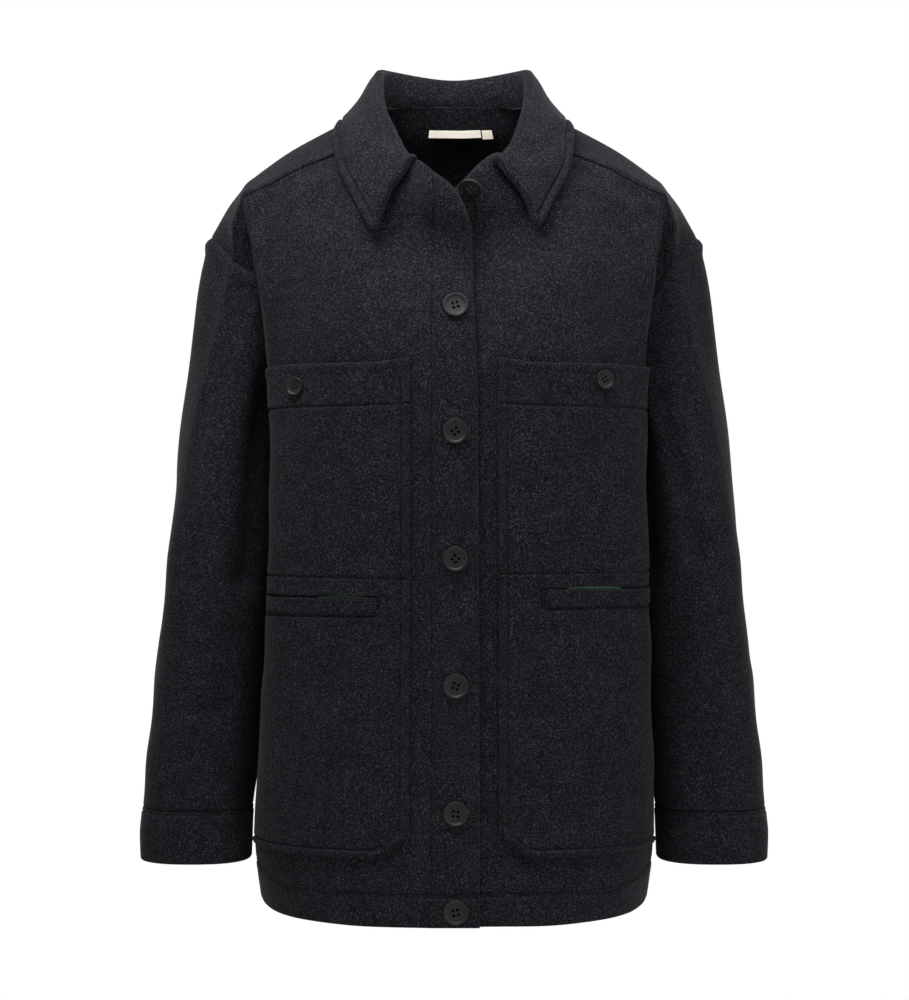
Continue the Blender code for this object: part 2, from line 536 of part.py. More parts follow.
# Patch pockets, their welts and the sliver of lining, laid on the front panels
pocket_rows = slice(front_rows.index(POCKET_BASE), front_rows.index(POCKET_TOP) + 1)
welt_rows = slice(front_rows.index(WELT_BASE), front_rows.index(WELT_TOP) + 1)
for side in fronts:
    last = len(FRONT_COLUMNS) - 1
    span = lambda low, high: slice(low, high + 1) if side == "left" else slice(last - high, last - low + 1)
    grid, normals = fronts[side], front_normals[side]
    patch = grid[pocket_rows, span(POCKET_FIRST, POCKET_LAST)].copy()
    patch_normals = normals[pocket_rows, span(POCKET_FIRST, POCKET_LAST)]
    patch += patch_normals * (LAY + CLOTH)
    corner = 0 if side == "left" else -1
    beside = 1 if side == "left" else -2
    patch[0, corner] = (patch[0, beside] + patch[1, corner]) / 2
    fabric_wall("pocket_" + side, patch, patch_normals, CLOTH, wool, low=0.0, high=0.0, first=0.0, last=0.0)
    welt = grid[welt_rows, span(*WELT_ENDS[side])]
    welt_normals = normals[welt_rows, span(*WELT_ENDS[side])]
    raised = welt + welt_normals * (2 * LAY + 2 * CLOTH)
    fabric_wall("welt_" + side, raised, welt_normals, CLOTH, wool)
    first, last_column = LINING_ENDS[side]
    columns = FRONT_COLUMNS[first:last_column + 1]
    sliver = front_surface([WELT_TOP + LAY, WELT_TOP + LAY + LINING_SHOWS], columns, side == "right")
    sliver = sliver if side == "left" else mirrored(sliver)
    sliver_normals = normals_of(sliver)
    sliver += sliver_normals * (2 * LAY + CLOTH + 0.0008)
    fabric_wall("pocket_lining_" + side, sliver, sliver_normals, 0.0006, lining_cloth)

# Sleeves from the armhole ring, then the cuffs
arm_front = fronts["left"][armpit_row:, -1][::-1]
arm_back = back[BACK_ROWS_LOW:, 0]
tip = len(yoke_spokes) - 1 - YOKE_ARM_STEPS
arm_top_front = yoke[-1, tip:]
arm_top_back = yoke[-1, len(yoke_spokes) - arm_count:tip + 1]
armhole = np.concatenate([arm_top_front, arm_front[1:], arm_back[1:], arm_top_back[1:]])
underarm = len(arm_top_front) + len(arm_front) - 2
shares = ring_shares(armhole, underarm)
sleeve = sleeve_surface(armhole, shares)
sleeve = pressed(sleeve, normals_of(sleeve, True), SLEEVE_FOLDS, True)
sleeve_normals = normals_of(sleeve, True)
cuff = spline([ring.run for ring in CUFF_RINGS], np.array([ring_points(r, shares) for r in CUFF_RINGS]),
              [0.0, 0.016, 0.034, 0.050])
cuff_normals = normals_of(cuff, True)
for side in ("left", "right"):
    flip = (lambda grid: grid) if side == "left" else mirrored
    fabric_wall("sleeve_" + side, flip(sleeve), flip(sleeve_normals), CLOTH, wool, closed=True,
                low=0.0004, first=0.0, last=0.0)
    fabric_wall("cuff_" + side, flip(cuff), flip(cuff_normals), DOUBLE, wool, closed=True,
                low=SEAM, high=0.0, first=0.0, last=0.0)

collar = collar_surface(np.linspace(0, 1, COLLAR_STEPS + 1), COLLAR_PROFILE)
collar_normals = normals_of(collar)
wall("collar", collar + collar_normals * COLLAR_CLOTH / 2, collar - collar_normals * COLLAR_CLOTH / 2, wool)

# Buttons on the right placket, the open one on the left placket, one on each pocket
def set_button(name, grid, normals, x, z, radius, spin):
    apart = np.abs(grid[..., 0] - x) + np.abs(grid[..., 2] - z)
    row, column = np.unravel_index(np.argmin(apart), apart.shape)
    facing = normals[row, column]
    place = grid[row, column] + facing * LAY
    turned_button(name, radius, BUTTON_THICK * radius / BUTTON_RADIUS, place, facing, spin)


fine_rows = np.linspace(HEM_EDGE, NECK_CORNER, 652)
over_face = mirrored(placket_surface(fine_rows, True, 42))
under_face = placket_surface(fine_rows, False, 42)
heights = [FIRST_BUTTON - BUTTON_SPACING * step for step in range(5)] + [HEM_BUTTON]
for number, height in enumerate(heights, start=1):
    set_button(f"button_{number}", over_face, normals_of(over_face), BUTTON_LINE, height, BUTTON_RADIUS,
               0.3 * number)
set_button("button_top", under_face, normals_of(under_face), 0.0175, -0.0690, BUTTON_RADIUS, 0.5)
pocket_columns = np.linspace(0.3, 0.7, 161)
for side, x, z in (("left", 0.1295, -0.239), ("right", -0.140, -0.244)):
    face = front_surface(np.linspace(-0.26, -0.22, 81), pocket_columns, side == "right")
    face = face if side == "left" else mirrored(face)
    facing = normals_of(face)
    set_button("button_pocket_" + side, face + facing * (CLOTH + 0.0001), facing, x, z,
               SMALL_BUTTON_RADIUS, 0.4)

# Bare label and size tab inside the back of the neck
middle = whole_reach / 2


def neck_tag(name, centre, half, top, base, cloth):
    tag = yoke_surface(np.linspace(top, base, 4), middle + np.linspace(centre - half, centre + half, 13))
    facing = normals_of(tag)
    face = tag - facing * (CLOTH + LABEL_THICK + 0.0010)
    fabric_wall(name, face + facing * LABEL_THICK, facing, LABEL_THICK, cloth)


neck_tag("neck_label", LABEL_CENTRE, LABEL_HALF, LABEL_TOP, LABEL_BASE, label_cloth)
neck_tag("size_tab", TAB_CENTRE, TAB_HALF, TAB_TOP, TAB_BASE, label_cloth)
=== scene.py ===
# Lumber jacket, its looks: charcoal wool cloth with seams, topstitching and soft creases,
# four-hole buttons, buttonholes, pocket lining and a bare neck label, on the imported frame.
# Metres, Z up, the front faces -Y and the wearer's left is +X.
import math
from collections import namedtuple

import bmesh
import bpy
import numpy as np
from mathutils import Matrix, Vector


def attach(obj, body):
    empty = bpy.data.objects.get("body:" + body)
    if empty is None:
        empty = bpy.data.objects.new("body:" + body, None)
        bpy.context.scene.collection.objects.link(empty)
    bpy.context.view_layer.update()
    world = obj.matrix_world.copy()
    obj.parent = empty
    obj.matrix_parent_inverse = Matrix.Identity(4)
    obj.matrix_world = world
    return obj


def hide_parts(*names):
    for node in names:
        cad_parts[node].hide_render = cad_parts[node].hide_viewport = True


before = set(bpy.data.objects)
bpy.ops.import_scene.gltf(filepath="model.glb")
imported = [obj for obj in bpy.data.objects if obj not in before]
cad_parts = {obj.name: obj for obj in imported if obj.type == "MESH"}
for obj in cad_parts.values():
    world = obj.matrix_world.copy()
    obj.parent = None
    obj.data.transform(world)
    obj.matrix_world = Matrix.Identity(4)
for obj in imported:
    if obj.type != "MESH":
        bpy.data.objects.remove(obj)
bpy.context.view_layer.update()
bpy.ops.object.select_all(action="DESELECT")
print("frame loaded,", len(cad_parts), "nodes")

# Thickness of the cloth, the gaps at seams and under what lies on top, and the spacing of grid lines
cloth = {
    "single": 0.0024, "double": 0.0044, "startWall": 0.0020, "seamGap": 0.0002, "lay": 0.0004,
    "step": 0.0030, "backStep": 0.0038, "narrowStep": 0.0022, "edgeFade": 0.03, "smoothAngle": 50,
}
# Heights on the body, and the hem seam, which rides up at the side seams
levels = {
    "hemEdge": -0.715, "hemSeam": -0.686, "armpit": -0.320, "yokeBack": -0.130, "neckCorner": -0.0555,
    "hemRise": 0.010, "riseFrom": 0.135, "riseTo": 0.185, "riseReach": 0.020,
}
lying = {"left": "under", "right": "over"}  # the right front buttons over the left one
pieces = {}  # what replaces each node of the frame
faces = {}  # outer face of each sewn piece, with its own flat places, for threads and trims


def slopesOf(knots, values):
    step = np.diff(knots)
    shape = (-1,) + (1,) * (values.ndim - 1)
    slope = np.diff(values, axis=0) / step.reshape(shape)
    before, after = step[:-1].reshape(shape), step[1:].reshape(shape)
    steady = (slope[:-1] * after + slope[1:] * before) / (before + after)
    bound = 3 * np.minimum(np.abs(slope[:-1]), np.abs(slope[1:]))
    inner = np.where(slope[:-1] * slope[1:] > 0, np.clip(steady, -bound, bound), 0.0)
    return step, np.concatenate([slope[:1], inner, slope[-1:]])


def spline(knots, values, at, each=False):
    # a smooth line through values at knots; with each, every place has its own line
    knots, values, at = np.asarray(knots, float), np.asarray(values, float), np.asarray(at, float)
    step, tangent = slopesOf(knots, values)
    low = np.clip(np.searchsorted(knots, at, side="right") - 1, 0, len(knots) - 2)
    everyPlace = (np.arange(len(at)),) if each else ()
    pick = lambda table, index: table[(index,) + everyPlace]
    shape = (-1,) + (1,) * (values.ndim - (2 if each else 1))
    part = ((at - knots[low]) / step[low]).reshape(shape)
    width = step[low].reshape(shape)
    return (pick(values, low) * (1 + 2 * part) * (1 - part) ** 2
            + pick(values, low + 1) * part ** 2 * (3 - 2 * part)
            + pick(tangent, low) * width * part * (1 - part) ** 2
            - pick(tangent, low + 1) * width * part ** 2 * (1 - part))


def loft(keys, rowKnots, columnKnots, rows, columns):
    rows, columns = np.broadcast_arrays(np.asarray(rows, float), np.asarray(columns, float))
    along = spline(rowKnots, keys, rows.ravel())
    return spline(columnKnots, np.moveaxis(along, 1, 0), columns.ravel(), True).reshape(rows.shape + (3,))


def unit(vectors):
    return vectors / np.maximum(np.linalg.norm(vectors, axis=-1, keepdims=True), 1e-12)


def facingOf(grid, closed=False):
    down = np.gradient(grid, axis=0)
    if closed:
        ring = grid[:, :-1]
        turn = (np.roll(ring, -1, axis=1) - np.roll(ring, 1, axis=1)) / 2
        across = np.concatenate([turn, turn[:, :1]], axis=1)
    else:
        across = np.gradient(grid, axis=1)
    return unit(np.cross(across, down))


def mirrored(grid):
    return grid[:, ::-1] * np.array([-1.0, 1.0, 1.0])


def handed(side, *grids):
    # left-hand grids as they are, right-hand ones mirrored
    if side == "left":
        return grids
    return tuple(mirrored(grid) if grid.ndim == 3 else grid[:, ::-1] for grid in grids)


def flipped(edges, wide):
    # the same paths, counted from the other edge of a piece
    return {kind: [[(wide - column, row) for column, row in path] for path in paths]
            for kind, paths in edges.items()}


def places(columns, rows):
    # the flat places of a grid's points, across and along
    return columns[None] + 0 * rows[:, None], rows[:, None] + 0 * columns[None]


def rising(value, start, end):
    part = np.clip((value - start) / (end - start), 0.0, 1.0)
    return part * part * (3 - 2 * part)


def within(value, low, high, fade):
    # one between low and high, falling softly to nothing at both ends
    return rising(value, low, low + fade) * (1 - rising(value, high - fade, high))


def near(gap, reach):
    # one where gap is nothing, fading away over reach
    return np.exp(-(gap / reach) ** 2)


def runOf(line):
    # length along a line of points, up to each of them
    return np.concatenate([[0], np.cumsum(np.linalg.norm(np.diff(line, axis=0), axis=1))])


def alongLine(line, shares):
    # places on a line of points, at shares of its length
    run, shares = runOf(line), np.asarray(shares)
    return np.stack([np.interp(shares * run[-1], run, line[:, axis]) for axis in range(3)], axis=-1)


def spread(start, stop, step, marks=(), fine=0.0006):
    # places from start to stop, a step apart and closer near each mark
    even = np.linspace(start, stop, max(2, round((stop - start) / step) + 1))
    close = [mark + fine * k for mark in marks for k in (-4, -2.5, -1.5, -0.75, 0, 0.75, 1.5, 2.5, 4)]
    found = np.unique(np.clip(np.concatenate([even, close]), start, stop))
    kept = [found[0]]
    for place in found[1:-1]:
        if place - kept[-1] > 0.6 * fine and found[-1] - place > 0.6 * fine:
            kept.append(place)
    return np.array(kept + [found[-1]])


def awayFrom(path, columnPlace, rowPlace):
    # distance from a path of (column, row) places, and how far along it the nearest point is
    best, along, run = np.full(np.broadcast(columnPlace, rowPlace).shape, 1e9), 0.0, 0.0
    for (c0, r0), (c1, r1) in zip(path, path[1:]):
        length = math.hypot(c1 - c0, r1 - r0)
        part = np.clip(((columnPlace - c0) * (c1 - c0) + (rowPlace - r0) * (r1 - r0)) / length ** 2, 0, 1)
        gap = np.hypot(columnPlace - c0 - part * (c1 - c0), rowPlace - r0 - part * (r1 - r0))
        along = np.where(gap < best, run + part * length, along)
        best = np.minimum(best, gap)
        run += length
    return best, along


Crease = namedtuple("crease", "fromRow fromColumn toRow toColumn width depth")


def creased(grid, facing, columnPlace, rowPlace, creases):
    # soft troughs, or ridges where depth is below zero, each along its own line
    result = grid.copy()
    for crease in creases:
        find = lambda row, column: np.unravel_index(
            np.argmin(np.hypot(rowPlace - row, columnPlace - column)), grid.shape[:2])
        start, end = find(crease.fromRow, crease.fromColumn), find(crease.toRow, crease.toColumn)
        middle = find((crease.fromRow + crease.toRow) / 2, (crease.fromColumn + crease.toColumn) / 2)
        line = grid[end] - grid[start]
        part = np.clip(((grid - grid[start]) @ line) / (line @ line), 0, 1)
        off = grid - grid[start] - part[..., None] * line
        beside = np.exp(-np.sum(off * off, axis=-1) / crease.width ** 2)
        toward = np.clip(facing @ facing[middle], 0, 1)
        result -= facing * (crease.depth * beside * toward)[..., None]
    return result


def clothShell(name, outer, inner, closed=False):
    # a grid laid out flat, given its thickness, then drawn to the shape of both faces
    rows, columns = outer.shape[:2]
    bpy.ops.object.select_all(action="DESELECT")
    bpy.ops.mesh.primitive_grid_add(x_subdivisions=columns - 1, y_subdivisions=rows - 1, size=1.0)
    piece = bpy.context.object
    piece.name = piece.data.name = name + "_cloth"
    mesh = piece.data
    mesh.vertices.foreach_set("co", outer.reshape(-1))
    acrossRun = np.linalg.norm(np.diff(outer, axis=1), axis=-1).sum(axis=1).mean()
    alongRun = np.linalg.norm(np.diff(outer, axis=0), axis=-1).sum(axis=0).mean()
    layer = mesh.uv_layers[0].data
    corners = np.empty(len(layer) * 2, np.float32)
    layer.foreach_get("uv", corners)
    corners = corners.reshape(-1, 2) * np.array([acrossRun, alongRun])  # the UV map in metres
    layer.foreach_set("uv", corners.ravel().astype(np.float32))
    if closed:
        work = bmesh.new()
        work.from_mesh(mesh)
        work.verts.ensure_lookup_table()
        seam = {work.verts[row * columns + columns - 1]: work.verts[row * columns] for row in range(rows)}
        bmesh.ops.weld_verts(work, targetmap=seam)
        work.to_mesh(mesh)
        work.free()
        outer, inner = outer[:, :-1], inner[:, :-1]
    wall = piece.modifiers.new("wall", "SOLIDIFY")
    wall.thickness, wall.offset = cloth["startWall"], -1
    bpy.ops.object.modifier_apply(modifier="wall")
    mesh.vertices.foreach_set("co", np.concatenate([outer.reshape(-1, 3), inner.reshape(-1, 3)]).ravel())
    mesh.update()
    bpy.ops.object.shade_smooth_by_angle(angle=math.radians(cloth["smoothAngle"]))
    pieces[name] = piece


# Stitches and seams: the thread, the groove it pulls, the cloth that swells beside it, and seams drawn in
sewing = {
    "pitch": 0.0036, "length": 0.0027, "threadWidth": 0.00030, "threadHeight": 0.00022,
    "grooveDepth": 0.0008, "grooveWidth": 0.0011, "swell": 0.00025, "swellOut": 0.0034, "swellReach": 0.0022,
    "seamDip": 0.0007, "seamReach": 0.0015, "seamPucker": 0.0062, "edgeRoll": 0.52,
    "stitchTight": 0.35, "seamTight": 0.25, "puffUneven": [(0.16, 310.0, 0.0), (0.12, 733.0, 1.1)],
}


def rounded(path, radius, steps=6):
    # the same path with each corner turned into a short curve
    corners = [np.array(point, float) for point in path]
    result = [corners[0]]
    for before, corner, after in zip(corners, corners[1:], corners[2:]):
        start = corner + unit(before - corner) * min(radius, np.linalg.norm(before - corner) / 2)
        end = corner + unit(after - corner) * min(radius, np.linalg.norm(after - corner) / 2)
        for part in np.linspace(0, 1, steps):
            result.append((1 - part) ** 2 * start + 2 * part * (1 - part) * corner + part ** 2 * end)
    return [tuple(point) for point in result + [corners[-1]]]


def roundCorner(fromSide, fromEnd, radius):
    # places near a square corner, drawn in so that the corner becomes round
    p, q = np.clip(1 - fromSide / radius, 0, 1), np.clip(1 - fromEnd / radius, 0, 1)
    inside = (p > 0) & (q > 0)
    side = radius * (1 - p * np.sqrt(1 - q * q / 2))
    end = radius * (1 - q * np.sqrt(1 - p * p / 2))
    return np.where(inside, side, fromSide), np.where(inside, end, fromEnd)


def rolledOff(gap, radius):
    part = np.clip(gap / radius, 0, 1)
    return -radius * (1 - np.sqrt(np.clip(1 - (1 - part) ** 2, 0, 1)))


SlowWave = namedtuple("slowWave", "length heading height")
slowWaves = [SlowWave(0.071, 0.9, 0.00030), SlowWave(0.047, 2.3, 0.00022),
             SlowWave(0.093, 1.6, 0.00036), SlowWave(0.036, 0.3, 0.00014)]


def uneven(columnPlace, rowPlace, phase):
    # slow hand-like waves in the cloth, no two pieces alike
    total = 0.0
    for number, wave in enumerate(slowWaves):
        along = columnPlace * math.cos(wave.heading) + rowPlace * math.sin(wave.heading)
        total = total + wave.height * np.sin(2 * math.pi * along / wave.length + phase * (number + 1.7))
    return total


def reliefOf(columnPlace, rowPlace, thick, free=(), seams=(), stitches=(), puffs=(), groove=1.0):
    # height over the plain form: stitched edges puffed, stitch lines sunk, seams drawn in, free edges rolled
    relief = np.zeros(np.broadcast(columnPlace, rowPlace).shape)
    for path, width, height in puffs:
        gap, along = awayFrom(path, columnPlace, rowPlace)
        crown = np.sqrt(np.clip(1 - ((gap - width / 2) / (width / 2)) ** 2, 0, 1))
        uneasy = 1.0
        for share, turn, phase in sewing["puffUneven"]:
            uneasy = uneasy + share * np.sin(along * turn + phase)
        relief += height * crown * uneasy
    for path in stitches:
        gap, along = awayFrom(path, columnPlace, rowPlace)
        tight = 1 + sewing["stitchTight"] * np.cos(2 * math.pi * along / sewing["pitch"])
        relief -= groove * sewing["grooveDepth"] * tight * near(gap, sewing["grooveWidth"])
        relief += sewing["swell"] * near(gap - sewing["swellOut"], sewing["swellReach"])
    for path in seams:
        gap, along = awayFrom(path, columnPlace, rowPlace)
        tight = 1 + sewing["seamTight"] * np.sin(2 * math.pi * along / sewing["seamPucker"])
        relief -= sewing["seamDip"] * tight * near(gap, sewing["seamReach"])
    for path in free:
        relief += rolledOff(awayFrom(path, columnPlace, rowPlace)[0], sewing["edgeRoll"] * thick)
    return relief


def curlOf(path, columnPlace, rowPlace, reach, depth):
    # how far a free edge bends back, both faces together
    return -depth * np.clip(1 - awayFrom(path, columnPlace, rowPlace)[0] / reach, 0, 1) ** 2


def sewnPiece(name, form, facing, thick, columnPlace, rowPlace, closed=False, extra=0.0, bend=0.0, **edges):
    # bend moves both faces of the cloth, extra and the relief of its edges the outer one alone
    form = form + facing * np.broadcast_to(bend, form.shape[:2])[..., None]
    relief = reliefOf(columnPlace, rowPlace, thick, **edges) + extra
    outer = form + facing * relief[..., None]
    faces[name] = {"outer": outer, "facing": facing, "column": np.broadcast_to(columnPlace, form.shape[:2]),
                   "row": np.broadcast_to(rowPlace, form.shape[:2]), "stitches": edges.get("stitches", ())}
    clothShell(name, outer, form - facing * thick, closed)


# Front panels: sections up the body, from the placket seam round to the side seam and armhole
FrontCut = namedtuple(
    "frontCut", "innerX innerY innerZ midY ridgeX ridgeY ridgeZ edgeX edgeY edgeZ hollow")
front = {
    "sections": [
        FrontCut(0.0195, -0.1500, -0.715, -0.138, 0.1560, -0.083, -0.715, 0.1790, 0.000, -0.715, 0.000),
        FrontCut(0.0195, -0.1500, -0.686, -0.138, 0.1620, -0.085, -0.686, 0.1840, 0.000, -0.686, 0.000),
        FrontCut(0.0195, -0.1490, -0.650, -0.137, 0.1665, -0.087, -0.650, 0.1850, 0.000, -0.650, 0.000),
        FrontCut(0.0195, -0.1480, -0.580, -0.136, 0.1695, -0.088, -0.580, 0.1770, 0.000, -0.580, 0.000),
        FrontCut(0.0195, -0.1475, -0.500, -0.136, 0.1705, -0.088, -0.500, 0.1660, 0.000, -0.500, 0.000),
        FrontCut(0.0195, -0.1490, -0.410, -0.139, 0.1685, -0.090, -0.410, 0.1590, 0.000, -0.410, 0.002),
        FrontCut(0.0195, -0.1510, -0.320, -0.142, 0.1665, -0.092, -0.320, 0.1560, 0.000, -0.320, 0.002),
        FrontCut(0.0195, -0.1500, -0.2247, -0.143, 0.1690, -0.090, -0.2247, 0.1660, -0.038, -0.2247, 0.003),
        FrontCut(0.0195, -0.1370, -0.144, -0.127, 0.1765, -0.084, -0.150, 0.1835, -0.049, -0.168, 0.006),
        FrontCut(0.0195, -0.1105, -0.0555, -0.094, 0.1860, -0.070, -0.096, 0.1930, -0.0495, -0.143, 0.009),
        FrontCut(0.0373, -0.1010, -0.0420, -0.0855, 0.1875, -0.067, -0.0865, 0.1947, -0.0490, -0.1388, 0.008),
        FrontCut(0.0560, -0.0880, -0.0360, -0.076, 0.1890, -0.064, -0.077, 0.1963, -0.0485, -0.1345, 0.003),
        FrontCut(0.0790, -0.0450, -0.0120, -0.0605, 0.1900, -0.060, -0.0670, 0.1980, -0.048, -0.128, 0.000),
    ],
    "knots": [0.0, 0.32, 0.645, 0.82, 1.0],
    "width": 0.238,
    "placketSeam": 0.0195, "overlap": 0.0030, "overlapReach": 0.050,
    "lapSide": {"over": -1, "under": 1}, "yokeDrop": 0.016, "armholeMark": 0.954, "foldKnots": (0.595, 0.695),
    "dropShares": ((0.0, 0.12), (0.64, 0.86)), "dropReach": 0.07, "foldSharp": (-0.30, -0.15),
    "midShare": 0.55, "hollowWay": (-0.6, 0.8, 0.0), "hollowOut": 0.004, "neckStraight": 0.12,
    "rimCurl": 0.0050, "rimReach": 0.0095, "wavePhase": {"left": 1.3, "right": 4.1},
    # how far the armhole edge and the ridge beside it are drawn in, and where up the body
    "armholeIn": {"over": 0.012, "under": 0.003}, "armholeWay": (-1.0, -0.2, 0.3),
    "armholeRun": ([-0.2247, -0.168, -0.143, -0.1345, -0.128], [0.0, 0.6, 1.0, 0.4, 0.0]),
    "ridgeIn": {"over": 0.0065, "under": -0.0010},
    "ridgeRun": ([-0.65, -0.58, -0.50, -0.2247, -0.144, -0.0555], [0.0, 0.6, 1.0, 1.0, 0.4, 0.0]),
    "creases": [
        Crease(-0.0555, 0.171, 0.005, 0.117, 0.014, 0.0030),
        Crease(-0.085, 0.206, -0.215, 0.210, 0.013, 0.0060),
        Crease(-0.100, 0.176, -0.250, 0.172, 0.012, -0.0020),
        Crease(-0.175, 0.105, -0.215, 0.060, 0.020, 0.0012),
        Crease(-0.120, 0.060, -0.205, 0.045, 0.022, -0.0012),
    ],
    "underFold": [(0.0113, -0.070), (0.0080, -0.120), (0.0030, -0.215)],
    "foldDepth": 0.0014, "foldReach": 0.005, "flat": (0.285, 0.765), "area": 0.176,
}


def frontKeys(lies):
    keys, knots = [], []
    for section in front["sections"]:
        inner = np.array([section.innerX, section.innerY, section.innerZ])
        ridge = np.array([section.ridgeX, section.ridgeY, section.ridgeZ])
        edge = np.array([section.edgeX, section.edgeY, section.edgeZ])
        ridge[0] -= front["ridgeIn"][lies] * np.interp(section.innerZ, *front["ridgeRun"])
        drawn = front["armholeIn"][lies] * np.interp(section.edgeZ, *front["armholeRun"])
        edge = edge + drawn * np.array(front["armholeWay"])
        midX = inner[0] + front["midShare"] * (ridge[0] - inner[0])
        mid = np.array([midX, section.midY, (inner[2] + ridge[2]) / 2])
        hollow = (ridge + edge) / 2 + np.array(front["hollowWay"]) * section.hollow
        hollow[0] += front["hollowOut"]
        keys.append([inner, mid, ridge, hollow, edge])
        run = np.linalg.norm(inner - keys[-2][0]) if len(keys) > 1 else 0.0
        knots.append(section.innerZ if section.innerZ <= levels["neckCorner"] else knots[-1] + run)
    # the neckline leaves the placket seam in a straight line
    corner, straight = knots.index(levels["neckCorner"]), front["neckStraight"]
    start, end = np.array(keys[corner]), np.array(keys[corner + 1])
    keys.insert(corner + 1, list(start + straight * (end - start)))
    knots.insert(corner + 1, knots[corner] + straight * (knots[corner + 1] - knots[corner]))
    # the chest turns into the armhole along a fold that is sharp at the shoulder and soft below
    keys, columns = np.array(keys), front["knots"]
    soft = np.moveaxis(spline(columns, np.moveaxis(keys, 1, 0), front["foldKnots"]), 0, 1)
    sharp = np.stack([np.stack([np.interp(front["foldKnots"], columns, line[:, axis]) for axis in range(3)],
                               axis=-1) for line in keys])
    amount = rising(keys[:, 2, 2], *front["foldSharp"])[:, None, None]
    turn = soft + amount * (sharp - soft)
    keys = np.concatenate([keys[:, :2], turn[:, :1], keys[:, 2:3], turn[:, 1:], keys[:, 3:]], axis=1)
    columns = columns[:2] + [front["foldKnots"][0], columns[2], front["foldKnots"][1]] + columns[3:]
    return keys, np.array(knots), columns


frontForms = {lies: frontKeys(lies) for lies in lying.values()}
neckTop = frontForms["over"][1][-1]

# Open neck: its slanting edge, which stands up and forward, the hollow below it, and the trough in the
# covered front beside the edge of the placket over it
neck = {
    "slant": 0.74, "drop": 0.0690, "square": 0.8,
    "hollow": 0.0095, "hollowZ": -0.117, "hollowSlant": 0.10, "hollowUp": 0.024, "hollowDown": 0.055,
    "hollowFade": (0.050, 0.095), "forward": 0.017, "forwardDown": 0.060, "forwardFade": (0.020, 0.048),
    "lift": {"over": 0.0020, "under": 0.0075}, "liftFrom": -0.13, "liftFade": (0.02, 0.05), "liftReach": 0.12,
    "trough": 0.0075, "troughX": 0.020, "troughReach": 0.014, "troughRows": (-0.25, -0.11),
}


def neckShaped(grid, rows, columns, lies):
    corner = levels["neckCorner"]
    across, height = grid[..., 0], grid[..., 2]
    below = neck["square"] * (neck["slant"] * across - neck["drop"] - height)  # how far under the neck edge
    lowest = neck["hollowZ"] + neck["hollowSlant"] * across
    soft = np.where(height > lowest, neck["hollowUp"], neck["hollowDown"])
    hollow = near(height - lowest, soft) * (1 - rising(across, *neck["hollowFade"]))
    forward = (1 - rising(below, 0.0, neck["forwardDown"])) * (1 - rising(across, *neck["forwardFade"]))
    grid[..., 1] += neck["hollow"] * hollow - neck["forward"] * forward
    nearNeck = rising(rows, neck["liftFrom"], corner)
    nearNeck = nearNeck * (1 - rising(rows, *(corner + end for end in neck["liftFade"])))
    grid[..., 2] += neck["lift"][lies] * nearNeck * near(columns, neck["liftReach"])
    if lies == "under":
        beside = near(np.maximum(across - neck["troughX"], 0.0), neck["troughReach"])
        grid[..., 1] += neck["trough"] * beside * rising(rows, *neck["troughRows"])
    return grid


def frontSurface(rows, columns, lies):
    grid = neckShaped(loft(*frontForms[lies], rows, columns), rows, columns, lies)
    lap = front["overlap"] * near(grid[..., 0] - front["placketSeam"], front["overlapReach"])
    below = 1 - rising(np.broadcast_to(rows, grid.shape[:2]), levels["neckCorner"], neckTop)
    grid[..., 1] += lap * below * front["lapSide"][lies]
    return grid


def hemLifted(grid):
    # the hem seam rides up a little towards the side seams
    side = rising(np.abs(grid[..., 0]), levels["riseFrom"], levels["riseTo"])
    grid[..., 2] += levels["hemRise"] * side * near(grid[..., 2] - levels["hemSeam"], levels["riseReach"])
    return grid


frontRows = spread(levels["hemSeam"], neckTop, cloth["step"], [levels["hemSeam"], levels["armpit"], neckTop])
frontColumns = spread(0.0, front["width"], cloth["step"],
                      [0.0, front["armholeMark"] * front["width"], front["width"]])
frontShares = frontColumns / front["width"]
# the yoke seam dips between the neck and the shoulder
dropStart, dropEnd = front["dropShares"]
yokeDrop = front["yokeDrop"] * rising(frontShares, *dropStart) * (1 - rising(frontShares, *dropEnd))
nearTop = rising(frontRows, neckTop - front["dropReach"], neckTop)
droppedRows = frontRows[:, None] - yokeDrop[None] * nearTop[:, None]
frontGrids = {}
for side, lies in lying.items():
    grid = frontSurface(droppedRows, frontShares[None], lies)
    grid = hemLifted(creased(grid, facingOf(grid), *places(frontColumns, frontRows), front["creases"]))
    frontGrids[side] = grid if side == "left" else mirrored(grid)

# Plackets: a doubled strip on each front, the right one lying over the left
PlacketEdge = namedtuple("placketEdge", "seamZ freeX")
placket = {
    "over": [
        PlacketEdge(-0.715, -0.0225), PlacketEdge(-0.400, -0.0220), PlacketEdge(-0.250, -0.0212),
        PlacketEdge(-0.170, -0.0180), PlacketEdge(-0.120, -0.0152), PlacketEdge(-0.0555, -0.0138),
    ],
    "under": [
        PlacketEdge(-0.715, -0.0225), PlacketEdge(-0.400, -0.0215), PlacketEdge(-0.250, -0.0200),
        PlacketEdge(-0.170, -0.0173), PlacketEdge(-0.120, -0.0145), PlacketEdge(-0.0555, -0.0120),
    ],
    "slant": {"over": 0.75, "under": 1.08}, "corner": {"over": (0.0277, 0.044), "under": (0.012, 0.018)},
    "width": 0.042, "overLean": 0.003, "underLean": 0.005, "stitchIn": 0.0024, "stitchShort": 0.004,
    "seamMark": 0.0028, "edgeCurl": 0.0008, "curlRows": (-0.34, -0.12), "slantFrom": -0.17,
    "leanFrom": -0.125, "flat": (0.046, 0.64),
}
seamRows = np.linspace(levels["hemEdge"], levels["neckCorner"], 400)


